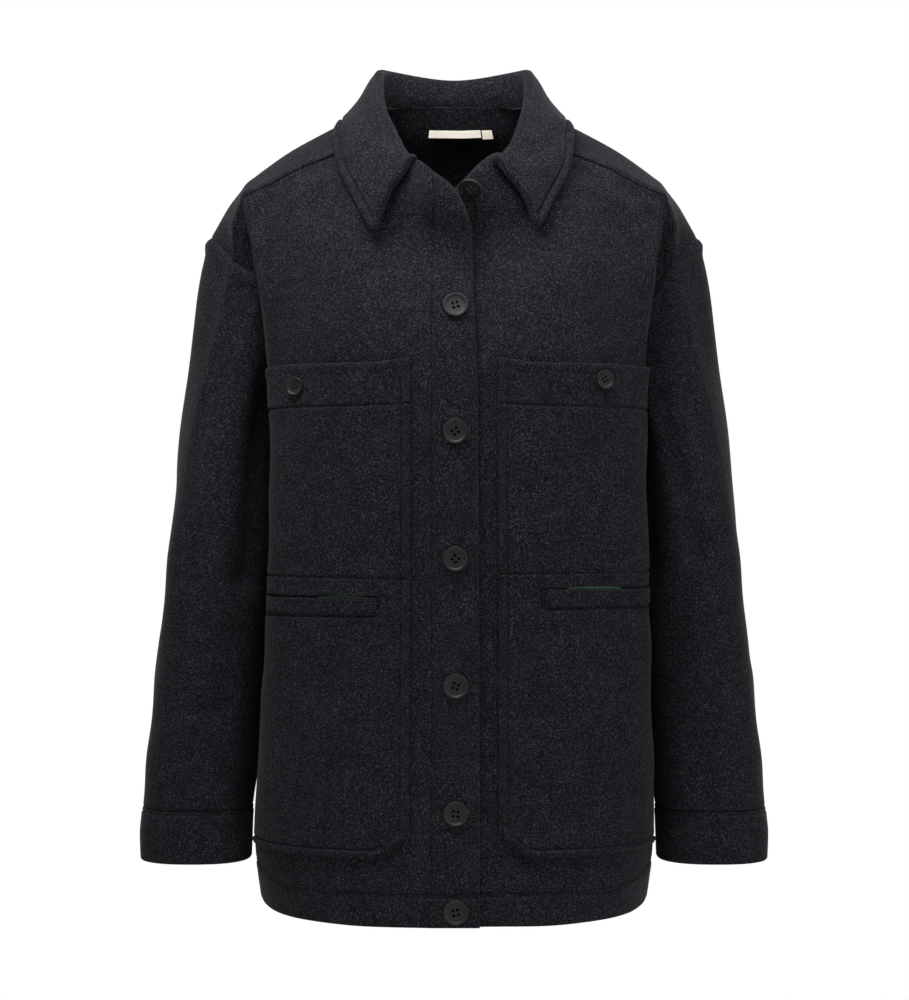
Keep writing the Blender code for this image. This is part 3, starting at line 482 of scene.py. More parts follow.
def placketSurface(rows, lies, part):
    # part runs from the placket seam, 0, to the free edge, 1
    corner, seamX = levels["neckCorner"], front["placketSeam"]
    rows = np.asarray(rows)
    rows, part = np.broadcast_arrays(rows if rows.ndim == 2 else rows[:, None], part)
    seam = loft(*frontForms[lies], seamRows[:, None], np.zeros((1, 1)))[:, 0, 1]
    free = spline(*zip(*placket[lies]), rows.ravel()).reshape(rows.shape)
    across = seamX + (free - seamX) * part
    height = rows - placket["slant"][lies] * (seamX - across) * rising(rows, placket["slantFrom"], corner)
    level = np.clip(height, seamRows[0], seamRows[-1])
    depth = spline(seamRows, seam, level.ravel()).reshape(level.shape)
    depth += (height - level) * (seam[-1] - seam[-2]) / (seamRows[-1] - seamRows[-2])
    depth += front["overlap"] * front["lapSide"][lies]
    lean = -placket["overLean"] * part if lies == "over" else placket["underLean"]
    depth += rising(rows, placket["leanFrom"], corner) * part * lean
    return neckShaped(np.stack([across, depth, height], axis=-1), rows, 0.0, lies)[:, ::-1]


def placketFacing(rows, lies, part):
    small = 0.0002
    across = placketSurface(rows, lies, part - small) - placketSurface(rows, lies, part + small)
    up = placketSurface(rows + small, lies, part) - placketSurface(rows - small, lies, part)
    return unit(np.cross(across, up))


# Back panel
BackSection = namedtuple("backSection", "z centreY midY bladeX bladeY edgeX edgeY edgeZ")
back = {
    "sections": [
        BackSection(-0.715, 0.140, 0.126, 0.1540, 0.082, 0.1790, 0.000, -0.715),
        BackSection(-0.686, 0.141, 0.127, 0.1600, 0.084, 0.1840, 0.000, -0.686),
        BackSection(-0.650, 0.142, 0.128, 0.1640, 0.086, 0.1850, 0.000, -0.650),
        BackSection(-0.580, 0.143, 0.130, 0.1675, 0.088, 0.1770, 0.000, -0.580),
        BackSection(-0.500, 0.144, 0.132, 0.1685, 0.089, 0.1660, 0.000, -0.500),
        BackSection(-0.410, 0.143, 0.131, 0.1665, 0.090, 0.1590, 0.000, -0.410),
        BackSection(-0.320, 0.142, 0.131, 0.1650, 0.089, 0.1560, 0.000, -0.320),
        BackSection(-0.250, 0.140, 0.129, 0.1680, 0.087, 0.1630, 0.033, -0.250),
        BackSection(-0.190, 0.135, 0.126, 0.1760, 0.083, 0.1740, 0.047, -0.188),
        BackSection(-0.130, 0.125, 0.118, 0.1870, 0.074, 0.1990, 0.052, -0.128),
    ],
    "knots": [0.0, 0.17, 0.33, 0.5, 0.67, 0.83, 1.0],
    "width": 0.509,
    "creases": [
        Crease(-0.6195, 0.1415, -0.2250, 0.1695, 0.020, 0.0045),
        Crease(-0.6195, 0.3675, -0.2488, 0.3395, 0.020, 0.0045),
        Crease(-0.3866, 0.0565, -0.2488, 0.1130, 0.016, 0.0040),
        Crease(-0.4198, 0.4525, -0.2488, 0.3960, 0.016, 0.0040),
        Crease(-0.560, 0.255, -0.300, 0.262, 0.030, -0.0018),
        Crease(-0.610, 0.075, -0.470, 0.100, 0.014, 0.0020),
        Crease(-0.600, 0.430, -0.500, 0.405, 0.014, 0.0018),
    ],
    "midShare": 0.55, "wavePhase": 2.2, "flat": (0.57, 0.60), "area": 0.318,
}


def backSurface(rows, columns):
    keys = []
    for section in back["sections"]:
        half = [(section.edgeX, section.edgeY, section.edgeZ), (section.bladeX, section.bladeY, section.z),
                (back["midShare"] * section.bladeX, section.midY, section.z)]
        keys.append(half + [(0.0, section.centreY, section.z)] + [(-x, y, z) for x, y, z in half[::-1]])
    return loft(np.array(keys), [section.z for section in back["sections"]], back["knots"], rows, columns)


backRows = spread(levels["hemSeam"], levels["yokeBack"], cloth["backStep"],
                  [levels["hemSeam"], levels["yokeBack"]])
backColumns = spread(0.0, back["width"], cloth["backStep"], [0.0, back["width"]])
backGrid = backSurface(backRows[:, None], backColumns[None] / back["width"])
backGrid = hemLifted(creased(backGrid, facingOf(backGrid), *places(backColumns, backRows), back["creases"]))

# Yoke over both shoulders: spokes from the neck out, right front, back, left front
YokeSpoke = namedtuple("yokeSpoke", "reach neck near top brow edge")
yoke = {
    "spokes": [
        YokeSpoke(0.000, (0.079, -0.045, -0.012), (0.105, -0.057, -0.028), (0.150, -0.061, -0.047),
                  (0.190, -0.060, -0.0645), (0.198, -0.048, -0.128)),
        YokeSpoke(0.065, (0.076, -0.005, 0.0195), (0.115, -0.004, -0.0006), (0.160, -0.002, -0.0255),
                  (0.1975, 0.000, -0.0535), (0.2255, 0.000, -0.1000)),
        YokeSpoke(0.127, (0.058, 0.036, 0.0270), (0.079, 0.046, 0.0065), (0.130, 0.064, -0.0240),
                  (0.171, 0.067, -0.066), (0.199, 0.052, -0.128)),
        YokeSpoke(0.247, (0.032, 0.0505, 0.0295), (0.0415, 0.0595, 0.004), (0.065, 0.088, -0.040),
                  (0.085, 0.107, -0.090), (0.100, 0.118, -0.130)),
        YokeSpoke(0.347, (0.000, 0.054, 0.030), (0.000, 0.0635, 0.003), (0.000, 0.092, -0.041),
                  (0.000, 0.112, -0.090), (0.000, 0.125, -0.130)),
    ],
    "knots": [0.0, 0.18, 0.45, 0.70, 1.0],
    "length": 0.205, "stitchIn": 0.0095, "groove": 2.2, "puff": 0.0016, "lap": 0.0005,
    "lapFade": (0.006, 0.016), "turnDown": 0.0014, "turnReach": 0.010, "turnStart": 0.03, "turnEnd": 0.05,
    "frontFit": ([0.0, 0.065, 0.0857], [1.0, 0.25, 0.0]), "flat": (0.47, 0.30), "area": 0.124,
}
armReach, wholeReach = yoke["spokes"][2].reach, 2 * yoke["spokes"][-1].reach


def yokeSurface(rings, spokes):
    half = [[spoke.neck, spoke.near, spoke.top, spoke.brow, spoke.edge] for spoke in yoke["spokes"]]
    keys = np.array([[(-x, y, z) for x, y, z in line] for line in half] + half[::-1][1:])
    reach = [spoke.reach for spoke in yoke["spokes"]]
    return loft(keys, reach + [wholeReach - run for run in reach[::-1][1:]], yoke["knots"], spokes, rings)


armSpokes = spread(0.0, armReach, cloth["step"], [0.0, yoke["stitchIn"]])
backSpokes = armReach + (wholeReach - 2 * armReach) * (1 - backColumns[::-1] / back["width"])
yokeSpokes = np.concatenate([armSpokes, backSpokes[1:-1], wholeReach - armSpokes[::-1]])
seamSlice = slice(len(armSpokes) - 1, len(armSpokes) + len(backColumns) - 1)
yokeGrid = yokeSurface(frontShares[:, None], yokeSpokes[None])
yokeGrid[:, seamSlice] += frontShares[:, None, None] ** 2 * (backGrid[-1][::-1] - yokeGrid[-1, seamSlice])
gapRight = frontGrids["right"][-1][::-1] - yokeGrid[:, 0]
gapLeft = frontGrids["left"][-1] - yokeGrid[:, -1]
fit = np.interp(yokeSpokes, *yoke["frontFit"])[None, :, None]
yokeGrid += gapRight[:, None] * fit + gapLeft[:, None] * fit[:, ::-1]

# Facing of every torso panel, shared where two panels meet so that their inner faces stay apart
frontFacings = {side: facingOf(grid) for side, grid in frontGrids.items()}
backFacing, yokeFacing = facingOf(backGrid), facingOf(yokeGrid)
level = np.array([1.0, 0.0, 1.0])
armpitRow = int(np.argmin(np.abs(frontRows - levels["armpit"])))
armpitBack = int(np.argmin(np.abs(backRows - levels["armpit"])))
for facing, column, count in ((frontFacings["left"], -1, armpitRow + 1), (backFacing, 0, armpitBack + 1),
                              (frontFacings["right"], 0, armpitRow + 1), (backFacing, -1, armpitBack + 1)):
    facing[:count, column] = unit(facing[:count, column] * level)
sharedRight = unit(frontFacings["right"][-1][::-1] + yokeFacing[:, 0])
sharedLeft = unit(frontFacings["left"][-1] + yokeFacing[:, -1])
frontFacings["right"][-1], yokeFacing[:, 0] = sharedRight[::-1], sharedRight
frontFacings["left"][-1], yokeFacing[:, -1] = sharedLeft, sharedLeft
sharedBack = unit(backFacing[-1][::-1] + yokeFacing[-1, seamSlice])
backFacing[-1], yokeFacing[-1, seamSlice] = sharedBack[::-1], sharedBack

# Placket grids, the free top corner rounded by drawing the grid's own lines in
cornerRow = int(np.argmin(np.abs(frontRows - levels["neckCorner"])))
placketRows = frontRows[:cornerRow + 1]
placketParts = spread(0.0, placket["width"], cloth["narrowStep"],
                      [0.0, placket["seamMark"], placket["width"]]) / placket["width"]
placketGrids, placketFacings, placketPlaces = {}, {}, {}
for side, lies in lying.items():
    wide, tall = placket["corner"][lies]
    part, rows = places(placketParts, placketRows)
    fromSide, fromEnd = roundCorner(placket["width"] * (1 - part) / wide,
                                    (placketRows[-1] - rows) / tall, 1.0)
    inward, rows = placket["width"] - fromSide * wide, placketRows[-1] - fromEnd * tall
    part = inward / placket["width"]
    strip, facing = placketSurface(rows, lies, part), placketFacing(rows, lies, part)
    placketPlaces[side] = (inward, rows) if side == "right" else (inward[:, ::-1], rows[:, ::-1])
    placketGrids[side], placketFacings[side] = handed(side, strip, facing)
    mine, theirs = (-1, 0) if side == "left" else (0, -1)
    shared = unit(placketFacings[side][:, mine] + frontFacings[side][:cornerRow + 1, theirs])
    placketFacings[side][:, mine], frontFacings[side][:cornerRow + 1, theirs] = shared, shared


def trimmed(grid, low=1, high=1, first=1, last=1):
    # each sewn edge stops short of the seam line
    result = grid.copy()
    gap = cloth["seamGap"]
    result[0] += unit(grid[1] - grid[0]) * gap * low
    result[-1] += unit(grid[-2] - grid[-1]) * gap * high
    result[:, 0] += unit(grid[:, 1] - grid[:, 0]) * gap * first
    result[:, -1] += unit(grid[:, -2] - grid[:, -1]) * gap * last
    return result


for side in lying:
    columns = frontColumns if side == "left" else front["width"] - frontColumns[::-1]
    columnPlace, rowPlace = places(columns, frontRows)
    inward = columnPlace if side == "left" else front["width"] - columnPlace  # from the placket seam
    low, high, corner, wide = frontRows[0], frontRows[-1], levels["neckCorner"], front["width"]
    neckEdge = [(0.0, corner), (0.0, high)]
    rolled = trimmed(frontGrids[side])
    rolled[..., 1] -= curlOf(neckEdge, inward, rowPlace, front["rimReach"], front["rimCurl"])
    bend = uneven(columnPlace, rowPlace, front["wavePhase"][side])
    bend *= within(inward, 0.0, wide, cloth["edgeFade"]) * within(rowPlace, low, high, cloth["edgeFade"])
    edges = {"free": [neckEdge],
             "seams": [[(0.0, low), (0.0, corner)], [(wide, low), (wide, high)], [(0.0, high), (wide, high)],
                       [(0.0, low), (wide, low)]]}
    if side == "left":
        foldGap = awayFrom(front["underFold"], inward, rowPlace)[0]
        bend -= front["foldDepth"] * near(foldGap, front["foldReach"])
    else:
        edges = flipped(edges, wide)
    sewnPiece("front_" + side, rolled, frontFacings[side], cloth["single"], columnPlace, rowPlace,
              bend=bend, **edges)

    inward, rowPlace = placketPlaces[side]
    wide, low, high, inset = placket["width"], placketRows[0], placketRows[-1], placket["stitchIn"]
    outermost = -1 if side == "right" else 0
    rim = list(zip(inward[:, outermost], rowPlace[:, outermost]))
    rim += sorted(zip(inward[-1], rowPlace[-1]), reverse=True)[1:]
    opened = rising(rowPlace, *placket["curlRows"])  # the free edge curls more towards the open neck
    curl = placket["edgeCurl"] + (front["rimCurl"] - placket["edgeCurl"]) * opened
    rolled = trimmed(placketGrids[side])
    rolled[..., 1] -= curlOf(rim, inward, rowPlace, front["rimReach"], curl)
    edges = {"free": [rim], "seams": [[(0.0, low), (0.0, high)], [(0.0, low), (wide, low)]],
             "stitches": [[(inset, low), (inset, high - placket["stitchShort"])]]}
    if side == "left":
        inward, edges = wide - inward, flipped(edges, wide)
    sewnPiece("placket_" + side, rolled, placketFacings[side], cloth["double"], inward, rowPlace, **edges)

columnPlace, rowPlace = places(backColumns, backRows)
low, high, wide = backRows[0], backRows[-1], back["width"]
bend = uneven(columnPlace, rowPlace, back["wavePhase"])
bend *= within(columnPlace, 0.0, wide, cloth["edgeFade"]) * within(rowPlace, low, high, cloth["edgeFade"])
sewnPiece("back", trimmed(backGrid), backFacing, cloth["single"], columnPlace, rowPlace, bend=bend,
          seams=[[(0, low), (0, high)], [(wide, low), (wide, high)], [(0, low), (wide, low)],
                 [(0, high), (wide, high)]])

# the yoke's edges lie a little over their neighbours, and the cloth turns down beside the front ones
columnPlace, rowPlace = places(yokeSpokes, frontShares * yoke["length"])
hang, inset, lastArm = yoke["length"], yoke["stitchIn"], wholeReach - armReach
lapped = [[(0, 0), (0, hang)], [(wholeReach, 0), (wholeReach, hang)], [(armReach, hang), (lastArm, hang)]]
lap = sum(1 - rising(awayFrom(path, columnPlace, rowPlace)[0], *yoke["lapFade"]) for path in lapped)
fold = np.minimum(columnPlace, wholeReach - columnPlace) / yoke["turnReach"]
fold = fold * np.exp(1 - fold) * rising(rowPlace, 0.0, yoke["turnStart"])
fold = fold * (1 - rising(rowPlace, hang - yoke["turnEnd"], hang))
sewnPiece("yoke", trimmed(yokeGrid), yokeFacing, cloth["single"], columnPlace, rowPlace,
          extra=yoke["lap"] * lap, bend=yoke["turnDown"] * fold, groove=yoke["groove"],
          free=lapped, puffs=[(path, inset, yoke["puff"]) for path in lapped],
          seams=[[(0, hang), (armReach, hang)], [(lastArm, hang), (wholeReach, hang)]],
          stitches=[[(inset, 0.0), (inset, hang)], [(wholeReach - inset, 0.0), (wholeReach - inset, hang)],
                    [(armReach, hang - inset), (lastArm, hang - inset)]])
print("torso panels:", len(pieces))

# Hem band round the bottom and across both plackets, folded at its lower edge
hem = {"step": 0.0024, "stitchIn": 0.0026, "flat": (1.12, 0.031)}
hemRows = spread(levels["hemEdge"], levels["hemSeam"], hem["step"],
                 [levels["hemEdge"], levels["hemSeam"] - hem["stitchIn"], levels["hemSeam"]])
hemStrips = {}
for side, lies in lying.items():
    ends = placketSurface(hemRows, lies, placketParts[None])
    body = frontSurface(hemRows[:, None], frontShares[None], lies)
    hemStrips[side] = np.concatenate([ends[:, :-1], body], axis=1)
hemBack = backSurface(hemRows[:, None], backColumns[None, 1:-1] / back["width"])
hemGrid = hemLifted(np.concatenate([hemStrips["left"], hemBack, mirrored(hemStrips["right"])], axis=1))
hemRun = np.concatenate([[0], np.cumsum(np.linalg.norm(np.diff(hemGrid, axis=1), axis=-1).mean(axis=0))])
columnPlace, rowPlace = places(hemRun, hemRows)
low, high, wide, sewn = hemRows[0], hemRows[-1], hemRun[-1], hemRows[-1] - hem["stitchIn"]
sewnPiece("hem_band", trimmed(hemGrid, 0, 1, 0, 0), facingOf(hemGrid), cloth["double"], columnPlace, rowPlace,
          free=[[(0, low), (wide, low)], [(0, low), (0, high)], [(wide, low), (wide, high)]],
          seams=[[(0, high), (wide, high)]], stitches=[[(0, sewn), (wide, sewn)]])

# Patch pockets with a welted side opening, and the lining that peeps out of it
pocket = {
    "first": 0.075, "last": 0.80, "top": -0.2247, "base": -0.655, "chamferTall": 0.019, "chamferWide": 0.022,
    "facingLine": (0.0365, 0.0405), "midLine": {"left": (-0.4080, -0.4065), "right": (-0.4120, -0.4105)},
    "edgeStitch": 0.0015, "innerStitch": 0.0066, "groove": 1.35, "puff": 0.0013, "cornerRound": 0.006,
    "topPuff": 0.0008, "topPuffWide": 0.008, "stitchShort": 0.001,
    "topLift": 0.0040, "liftReach": 0.032, "topDip": 0.0022, "dipFrom": 0.10, "topReach": 0.05,
    "under": 0.0006, "bag": 0.0014, "gape": 0.0012, "gapeReach": 0.06, "letIn": 0.0021, "step": 0.0029,
    "letSides": (0.004, 0.008), "letBelow": 0.0008, "letAbove": (0.0011, 0.0020), "lineStart": 0.002,
    "edgeFade": 0.02, "wavePhase": {"left": 0.6, "right": 5.2}, "flat": (0.20, 0.45), "area": 0.085,
}
welt = {
    "ends": {"left": (0.22, 0.72), "right": (0.18, 0.72)}, "lift": {"left": 0.0072, "right": 0.0},
    "top": -0.4285, "base": -0.4462, "thick": 0.0020, "proud": 0.0007, "sag": 0.0010, "endSag": 0.0016,
    "endReach": 0.02, "stitchIn": 0.0016, "groove": 2.6, "slitMark": 0.0030, "step": 0.0018,
    "flat": (0.13, 0.0165),
}
lining = {
    "ends": {"left": (0.30, 0.475), "right": (0.22, 0.40)}, "shows": {"left": 0.0021, "right": 0.0012},
    "hidden": 0.0085, "behind": 0.0016, "tuck": 0.0006, "peep": 0.0011, "ripple": 0.0002, "dip": 0.0014,
    "turnBelow": 0.0006, "rippleTurn": 420, "thick": 0.0005, "flat": (0.046, 0.0112),
}


def layOn(rows, columns, side, away):
    # places on the front panel, moved out from it; rows and columns are grids
    grid = frontSurface(rows, columns, lying[side])
    facing = facingOf(grid)
    return grid + facing * np.asarray(away)[..., None], facing


def pocketAway(across, up):
    # how far the pocket stands off the front: it bags a little, more along its open top
    middle = np.sin(math.pi * np.clip(across / pocketWidth, 0, 1))
    swell = pocket["bag"] * middle * np.sin(math.pi * np.clip(up / pocketTall, 0, 1)) ** 0.5
    gape = pocket["gape"] * middle * rising(up, pocketTall - pocket["gapeReach"], pocketTall)
    return cloth["lay"] + cloth["single"] + pocket["under"] + swell + gape


def pocketLine(inset, top):
    # along the pocket's bottom, its cut corner and its inner side, inset from the edge
    wide, tall = pocket["chamferWide"] + 0.45 * inset, pocket["chamferTall"] + 0.5 * inset
    return rounded([(pocketWidth, inset), (wide, inset), (inset, tall), (inset, top)], pocket["cornerRound"])


pocketWidth = (pocket["last"] - pocket["first"]) * front["width"]
pocketTall = pocket["top"] - pocket["base"]
weltTall = welt["top"] - welt["base"]
weltBases = {side: welt["base"] + lift - pocket["base"] for side, lift in welt["lift"].items()}
weltMarks = [mark for side, base in weltBases.items() for mark in (
    base, base + weltTall, base + weltTall + welt["slitMark"], pocket["midLine"][side][0] - pocket["base"])]
stitchMarks = [0.0, pocket["edgeStitch"], pocket["innerStitch"]]
facingUp = [pocketTall - line for line in pocket["facingLine"]]
pocketColumns = spread(0.0, pocketWidth, pocket["step"], stitchMarks + [pocketWidth])
pocketRows = spread(0.0, pocketTall, pocket["step"], stitchMarks + facingUp + [pocketTall] + weltMarks)
for side in lying:
    weltBase, weltLift = weltBases[side], welt["lift"][side]
    across, up = places(pocketColumns, pocketRows)
    cut = pocket["chamferWide"] * np.clip(1 - up / pocket["chamferTall"], 0, 1)
    across = cut + across * (1 - cut / pocketWidth)
    share = pocket["first"] + across / front["width"]
    lift = pocket["topLift"] * (1 - rising(across, 0.0, pocket["liftReach"]))
    lift -= pocket["topDip"] * rising(across, pocket["dipFrom"], pocketWidth)
    lift *= rising(up, pocketTall - pocket["topReach"], pocketTall)
    form, facing = layOn(pocket["base"] + up + lift, share, side, pocketAway(across, up))
    # the welt and the slit above it are let into the pocket's face
    first, last = welt["ends"][side]
    slit = weltBase + weltTall
    inEdge, outEdge = pocket["letSides"]
    let = rising(share, first - outEdge, first - inEdge) * (1 - rising(share, last + inEdge, last + outEdge))
    let = let * rising(up, weltBase - pocket["letBelow"], weltBase)
    let = let * (1 - rising(up, *(slit + above for above in pocket["letAbove"])))
    midUp = [line - pocket["base"] for line in pocket["midLine"][side]]
    outline, topEdge = pocketLine(0.0, pocketTall), [(0.0, pocketTall), (pocketWidth, pocketTall)]
    stitches = [pocketLine(inset, pocketTall - pocket["stitchShort"]) for inset in stitchMarks[1:]]
    stitches += [[(pocket["lineStart"], start), (pocketWidth, end)] for start, end in (midUp, facingUp)]
    bend = uneven(across, up, pocket["wavePhase"][side])
    bend *= within(across, 0.0, pocketWidth, pocket["edgeFade"]) * rising(up, 0.0, pocket["edgeFade"])
    bend *= 1 - rising(up, pocketTall - cloth["edgeFade"], pocketTall)
    form, facing, across, up, let, bend = handed(side, form, facing, across, up, let, bend)
    sewnPiece("pocket_" + side, form, facing, cloth["single"], across, up,
              extra=-pocket["letIn"] * let, bend=bend, groove=pocket["groove"],
              free=[outline, topEdge], stitches=stitches,
              seams=[[(pocketWidth, 0.0), (pocketWidth, pocketTall)]],
              puffs=[(outline, pocket["innerStitch"], pocket["puff"]),
                     (topEdge, pocket["topPuffWide"], pocket["topPuff"])])

    wide, inset = (last - first) * front["width"], welt["stitchIn"]
    across, up = places(spread(0.0, wide, cloth["narrowStep"], [0.0, inset, wide - inset, wide]),
                        spread(0.0, weltTall, welt["step"], [0.0, inset, weltTall]))
    sag = welt["sag"] * np.sin(math.pi * across / wide)
    sag = sag - welt["endSag"] * rising(across, wide - welt["endReach"], wide)
    onPocket = (first - pocket["first"]) * front["width"] + across
    away = pocketAway(onPocket, weltBase + up) + welt["proud"] * rising(up, 0.0, weltTall)
    form, facing = layOn(welt["base"] + weltLift + up - sag * rising(up, 0, weltTall),
                         first + across / front["width"], side, away)
    form, facing, across, up = handed(side, form, facing, across, up)
    sewnPiece("welt_" + side, form, facing, welt["thick"], across, up, groove=welt["groove"],
              free=[[(0.0, weltTall), (wide, weltTall)]],
              seams=[[(0.0, 0.0), (wide, 0.0)], [(0.0, 0.0), (0.0, weltTall)],
                     [(wide, 0.0), (wide, weltTall)]],
              stitches=[[(inset, weltTall), (inset, inset), (wide - inset, inset), (wide - inset, weltTall)]])

    first, last = lining["ends"][side]
    wide, tall = (last - first) * front["width"], lining["shows"][side] + lining["hidden"]
    across, up = places(np.linspace(0.0, wide, 60), np.linspace(0.0, tall, 12))
    dip = lining["dip"] * (1 - np.clip(np.sin(math.pi * across / wide), 0, 1) ** 0.6) * up / tall
    out = rising(up, lining["hidden"] - lining["turnBelow"], tall)
    onPocket = (first - pocket["first"]) * front["width"] + across
    away = pocketAway(onPocket, slit + 0 * up) - lining["behind"] - lining["tuck"] * (1 - out)
    away += out * (lining["peep"] + lining["ripple"] * np.sin(across * lining["rippleTurn"]))
    form, facing = layOn(welt["top"] + weltLift - lining["hidden"] + up - dip,
                         first + across / front["width"], side, away)
    form, facing = handed(side, form, facing)
    clothShell("pocket_lining_" + side, form, form - facing * lining["thick"])
print("pockets done,", len(pieces), "pieces")

# Sleeves from the armhole ring to the cuff seam, and the doubled cuffs
SleeveRing = namedtuple("sleeveRing", "run z outerX innerX frontY backY")
sleeve = {
    "rings": [
        SleeveRing(0.165, -0.360, 0.2622, 0.1670, -0.066, 0.074),
        SleeveRing(0.225, -0.420, 0.2680, 0.1700, -0.066, 0.070),
        SleeveRing(0.305, -0.500, 0.2758, 0.1765, -0.064, 0.062),
        SleeveRing(0.385, -0.580, 0.2836, 0.1815, -0.062, 0.053),
        SleeveRing(0.433, -0.626, 0.2872, 0.1865, -0.060, 0.046),
    ],
    "capSteps": [(0.06, 0.012, 0.0030), (0.33, 0.058, 0.0048), (0.66, 0.112, 0.0036)],
    "square": 2.4, "girth": 0.402, "length": 0.433, "tuck": 0.0012,
    "creases": {
        "right": [
            Crease(0.030, 0.126, 0.215, 0.138, 0.019, 0.0085),
            Crease(0.010, 0.060, 0.070, 0.106, 0.012, -0.0026),
            Crease(0.225, 0.128, 0.330, 0.118, 0.016, 0.0035),
            Crease(0.345, 0.108, 0.410, 0.122, 0.012, 0.0028),
            Crease(0.120, 0.070, 0.260, 0.052, 0.022, -0.0018),
            Crease(0.060, 0.320, 0.200, 0.345, 0.018, 0.0038),
            Crease(0.200, 0.278, 0.290, 0.360, 0.015, 0.0045),
            Crease(0.310, 0.320, 0.405, 0.290, 0.016, 0.0030),
            Crease(0.150, 0.012, 0.260, 0.020, 0.018, 0.0015),
        ],
        "left": [
            Crease(0.060, 0.097, 0.195, 0.100, 0.010, 0.0048),
            Crease(0.020, 0.111, 0.160, 0.114, 0.012, -0.0030),
            Crease(0.040, 0.145, 0.210, 0.150, 0.016, 0.0062),
            Crease(0.235, 0.118, 0.320, 0.134, 0.015, 0.0034),
            Crease(0.340, 0.126, 0.412, 0.108, 0.013, 0.0028),
            Crease(0.055, 0.335, 0.190, 0.318, 0.018, 0.0036),
            Crease(0.210, 0.290, 0.285, 0.365, 0.015, 0.0042),
            Crease(0.300, 0.300, 0.410, 0.325, 0.016, 0.0030),
            Crease(0.180, 0.020, 0.290, 0.010, 0.018, 0.0015),
        ],
    },
    "armholeRidge": 0.0034, "ridgeAt": 0.0060, "ridgeReach": 0.0046, "seamDip": 0.0012, "dipReach": 0.0016,
    "capFade": 0.04, "puffTall": 0.12, "puffSide": 0.6, "wavePhase": 3.3, "flat": (0.55, 0.56), "area": 0.185,
}
cuff = {
    "rings": [
        SleeveRing(0.000, -0.6265, 0.2878, 0.1860, -0.0608, 0.0468),
        SleeveRing(0.025, -0.651, 0.2902, 0.1868, -0.062, 0.047),
        SleeveRing(0.050, -0.6745, 0.2895, 0.1876, -0.060, 0.045),
    ],
    "length": 0.050, "step": 0.0026, "stitchIn": 0.003, "flat": (0.345, 0.052),
}


def ringPoints(ring, shares):
    # places on a squarish oval, at shares of a turn from its outer side by way of its front
    turn = np.linspace(0, 2 * math.pi, 721)
    bend = lambda value: np.sign(value) * np.abs(value) ** (2 / sleeve["square"])
    centre = ((ring.outerX + ring.innerX) / 2, (ring.frontY + ring.backY) / 2)
    return alongLine(np.stack([centre[0] + (ring.outerX - ring.innerX) / 2 * bend(np.cos(turn)),
                               centre[1] + (ring.frontY - ring.backY) / 2 * bend(np.sin(turn)),
                               np.full_like(turn, ring.z)], axis=-1), shares)


tip = len(yokeSpokes) - 1 - int(np.argmin(np.abs(armSpokes - yoke["spokes"][1].reach)))
armSteps = [22, 50, 50, 22]  # steps along the yoke, front, back and yoke again
underarm = armSteps[0] + armSteps[1]


def armholeOf(side):
    # the sewn edges of yoke, front and back in one ring, drawn as a left one, and its shares of a turn
    yokeSide, frontSide, backSide = handed(side, yokeGrid, frontGrids[side], backGrid)
    lines = [yokeSide[-1, tip:], frontSide[armpitRow:, -1][::-1], backSide[armpitBack:, 0],
             yokeSide[-1, len(yokeSpokes) - len(armSpokes):tip + 1]]
    parts = [alongLine(line, np.linspace(0, 1, steps + 1)) for line, steps in zip(lines, armSteps)]
    ring = np.concatenate(parts[:1] + [part[1:] for part in parts[1:]])
    run = runOf(ring)
    under = run[underarm]
    return ring, np.where(run <= under, 0.5 * run / under, 0.5 + 0.5 * (run - under) / (run[-1] - under))


def sleeveSurface(armhole, shares, runs):
    first = ringPoints(sleeve["rings"][0], shares)
    outward = unit((first - first.mean(axis=0)) * np.array([1.0, 1.0, 0.0]))
    puffed = np.clip((armhole[:, 2:3] - levels["armpit"]) / sleeve["puffTall"], 0, 1)
    puffed = puffed * np.clip(outward[:, 0:1] + sleeve["puffSide"], 0, 1)
    inside = np.clip(-outward[:, 0:1], 0, 1) * np.array([1.0, 0.0, 0.0])
    keys, knots = [armhole], [0.0]
    for share, run, puff in sleeve["capSteps"]:
        keys.append(armhole + (first - armhole) * share + outward * puff * puffed + inside * puff)
        knots.append(run)
    for ring in sleeve["rings"]:
        keys.append(ringPoints(ring, shares))
        knots.append(ring.run)
    return spline(knots, np.array(keys), runs)


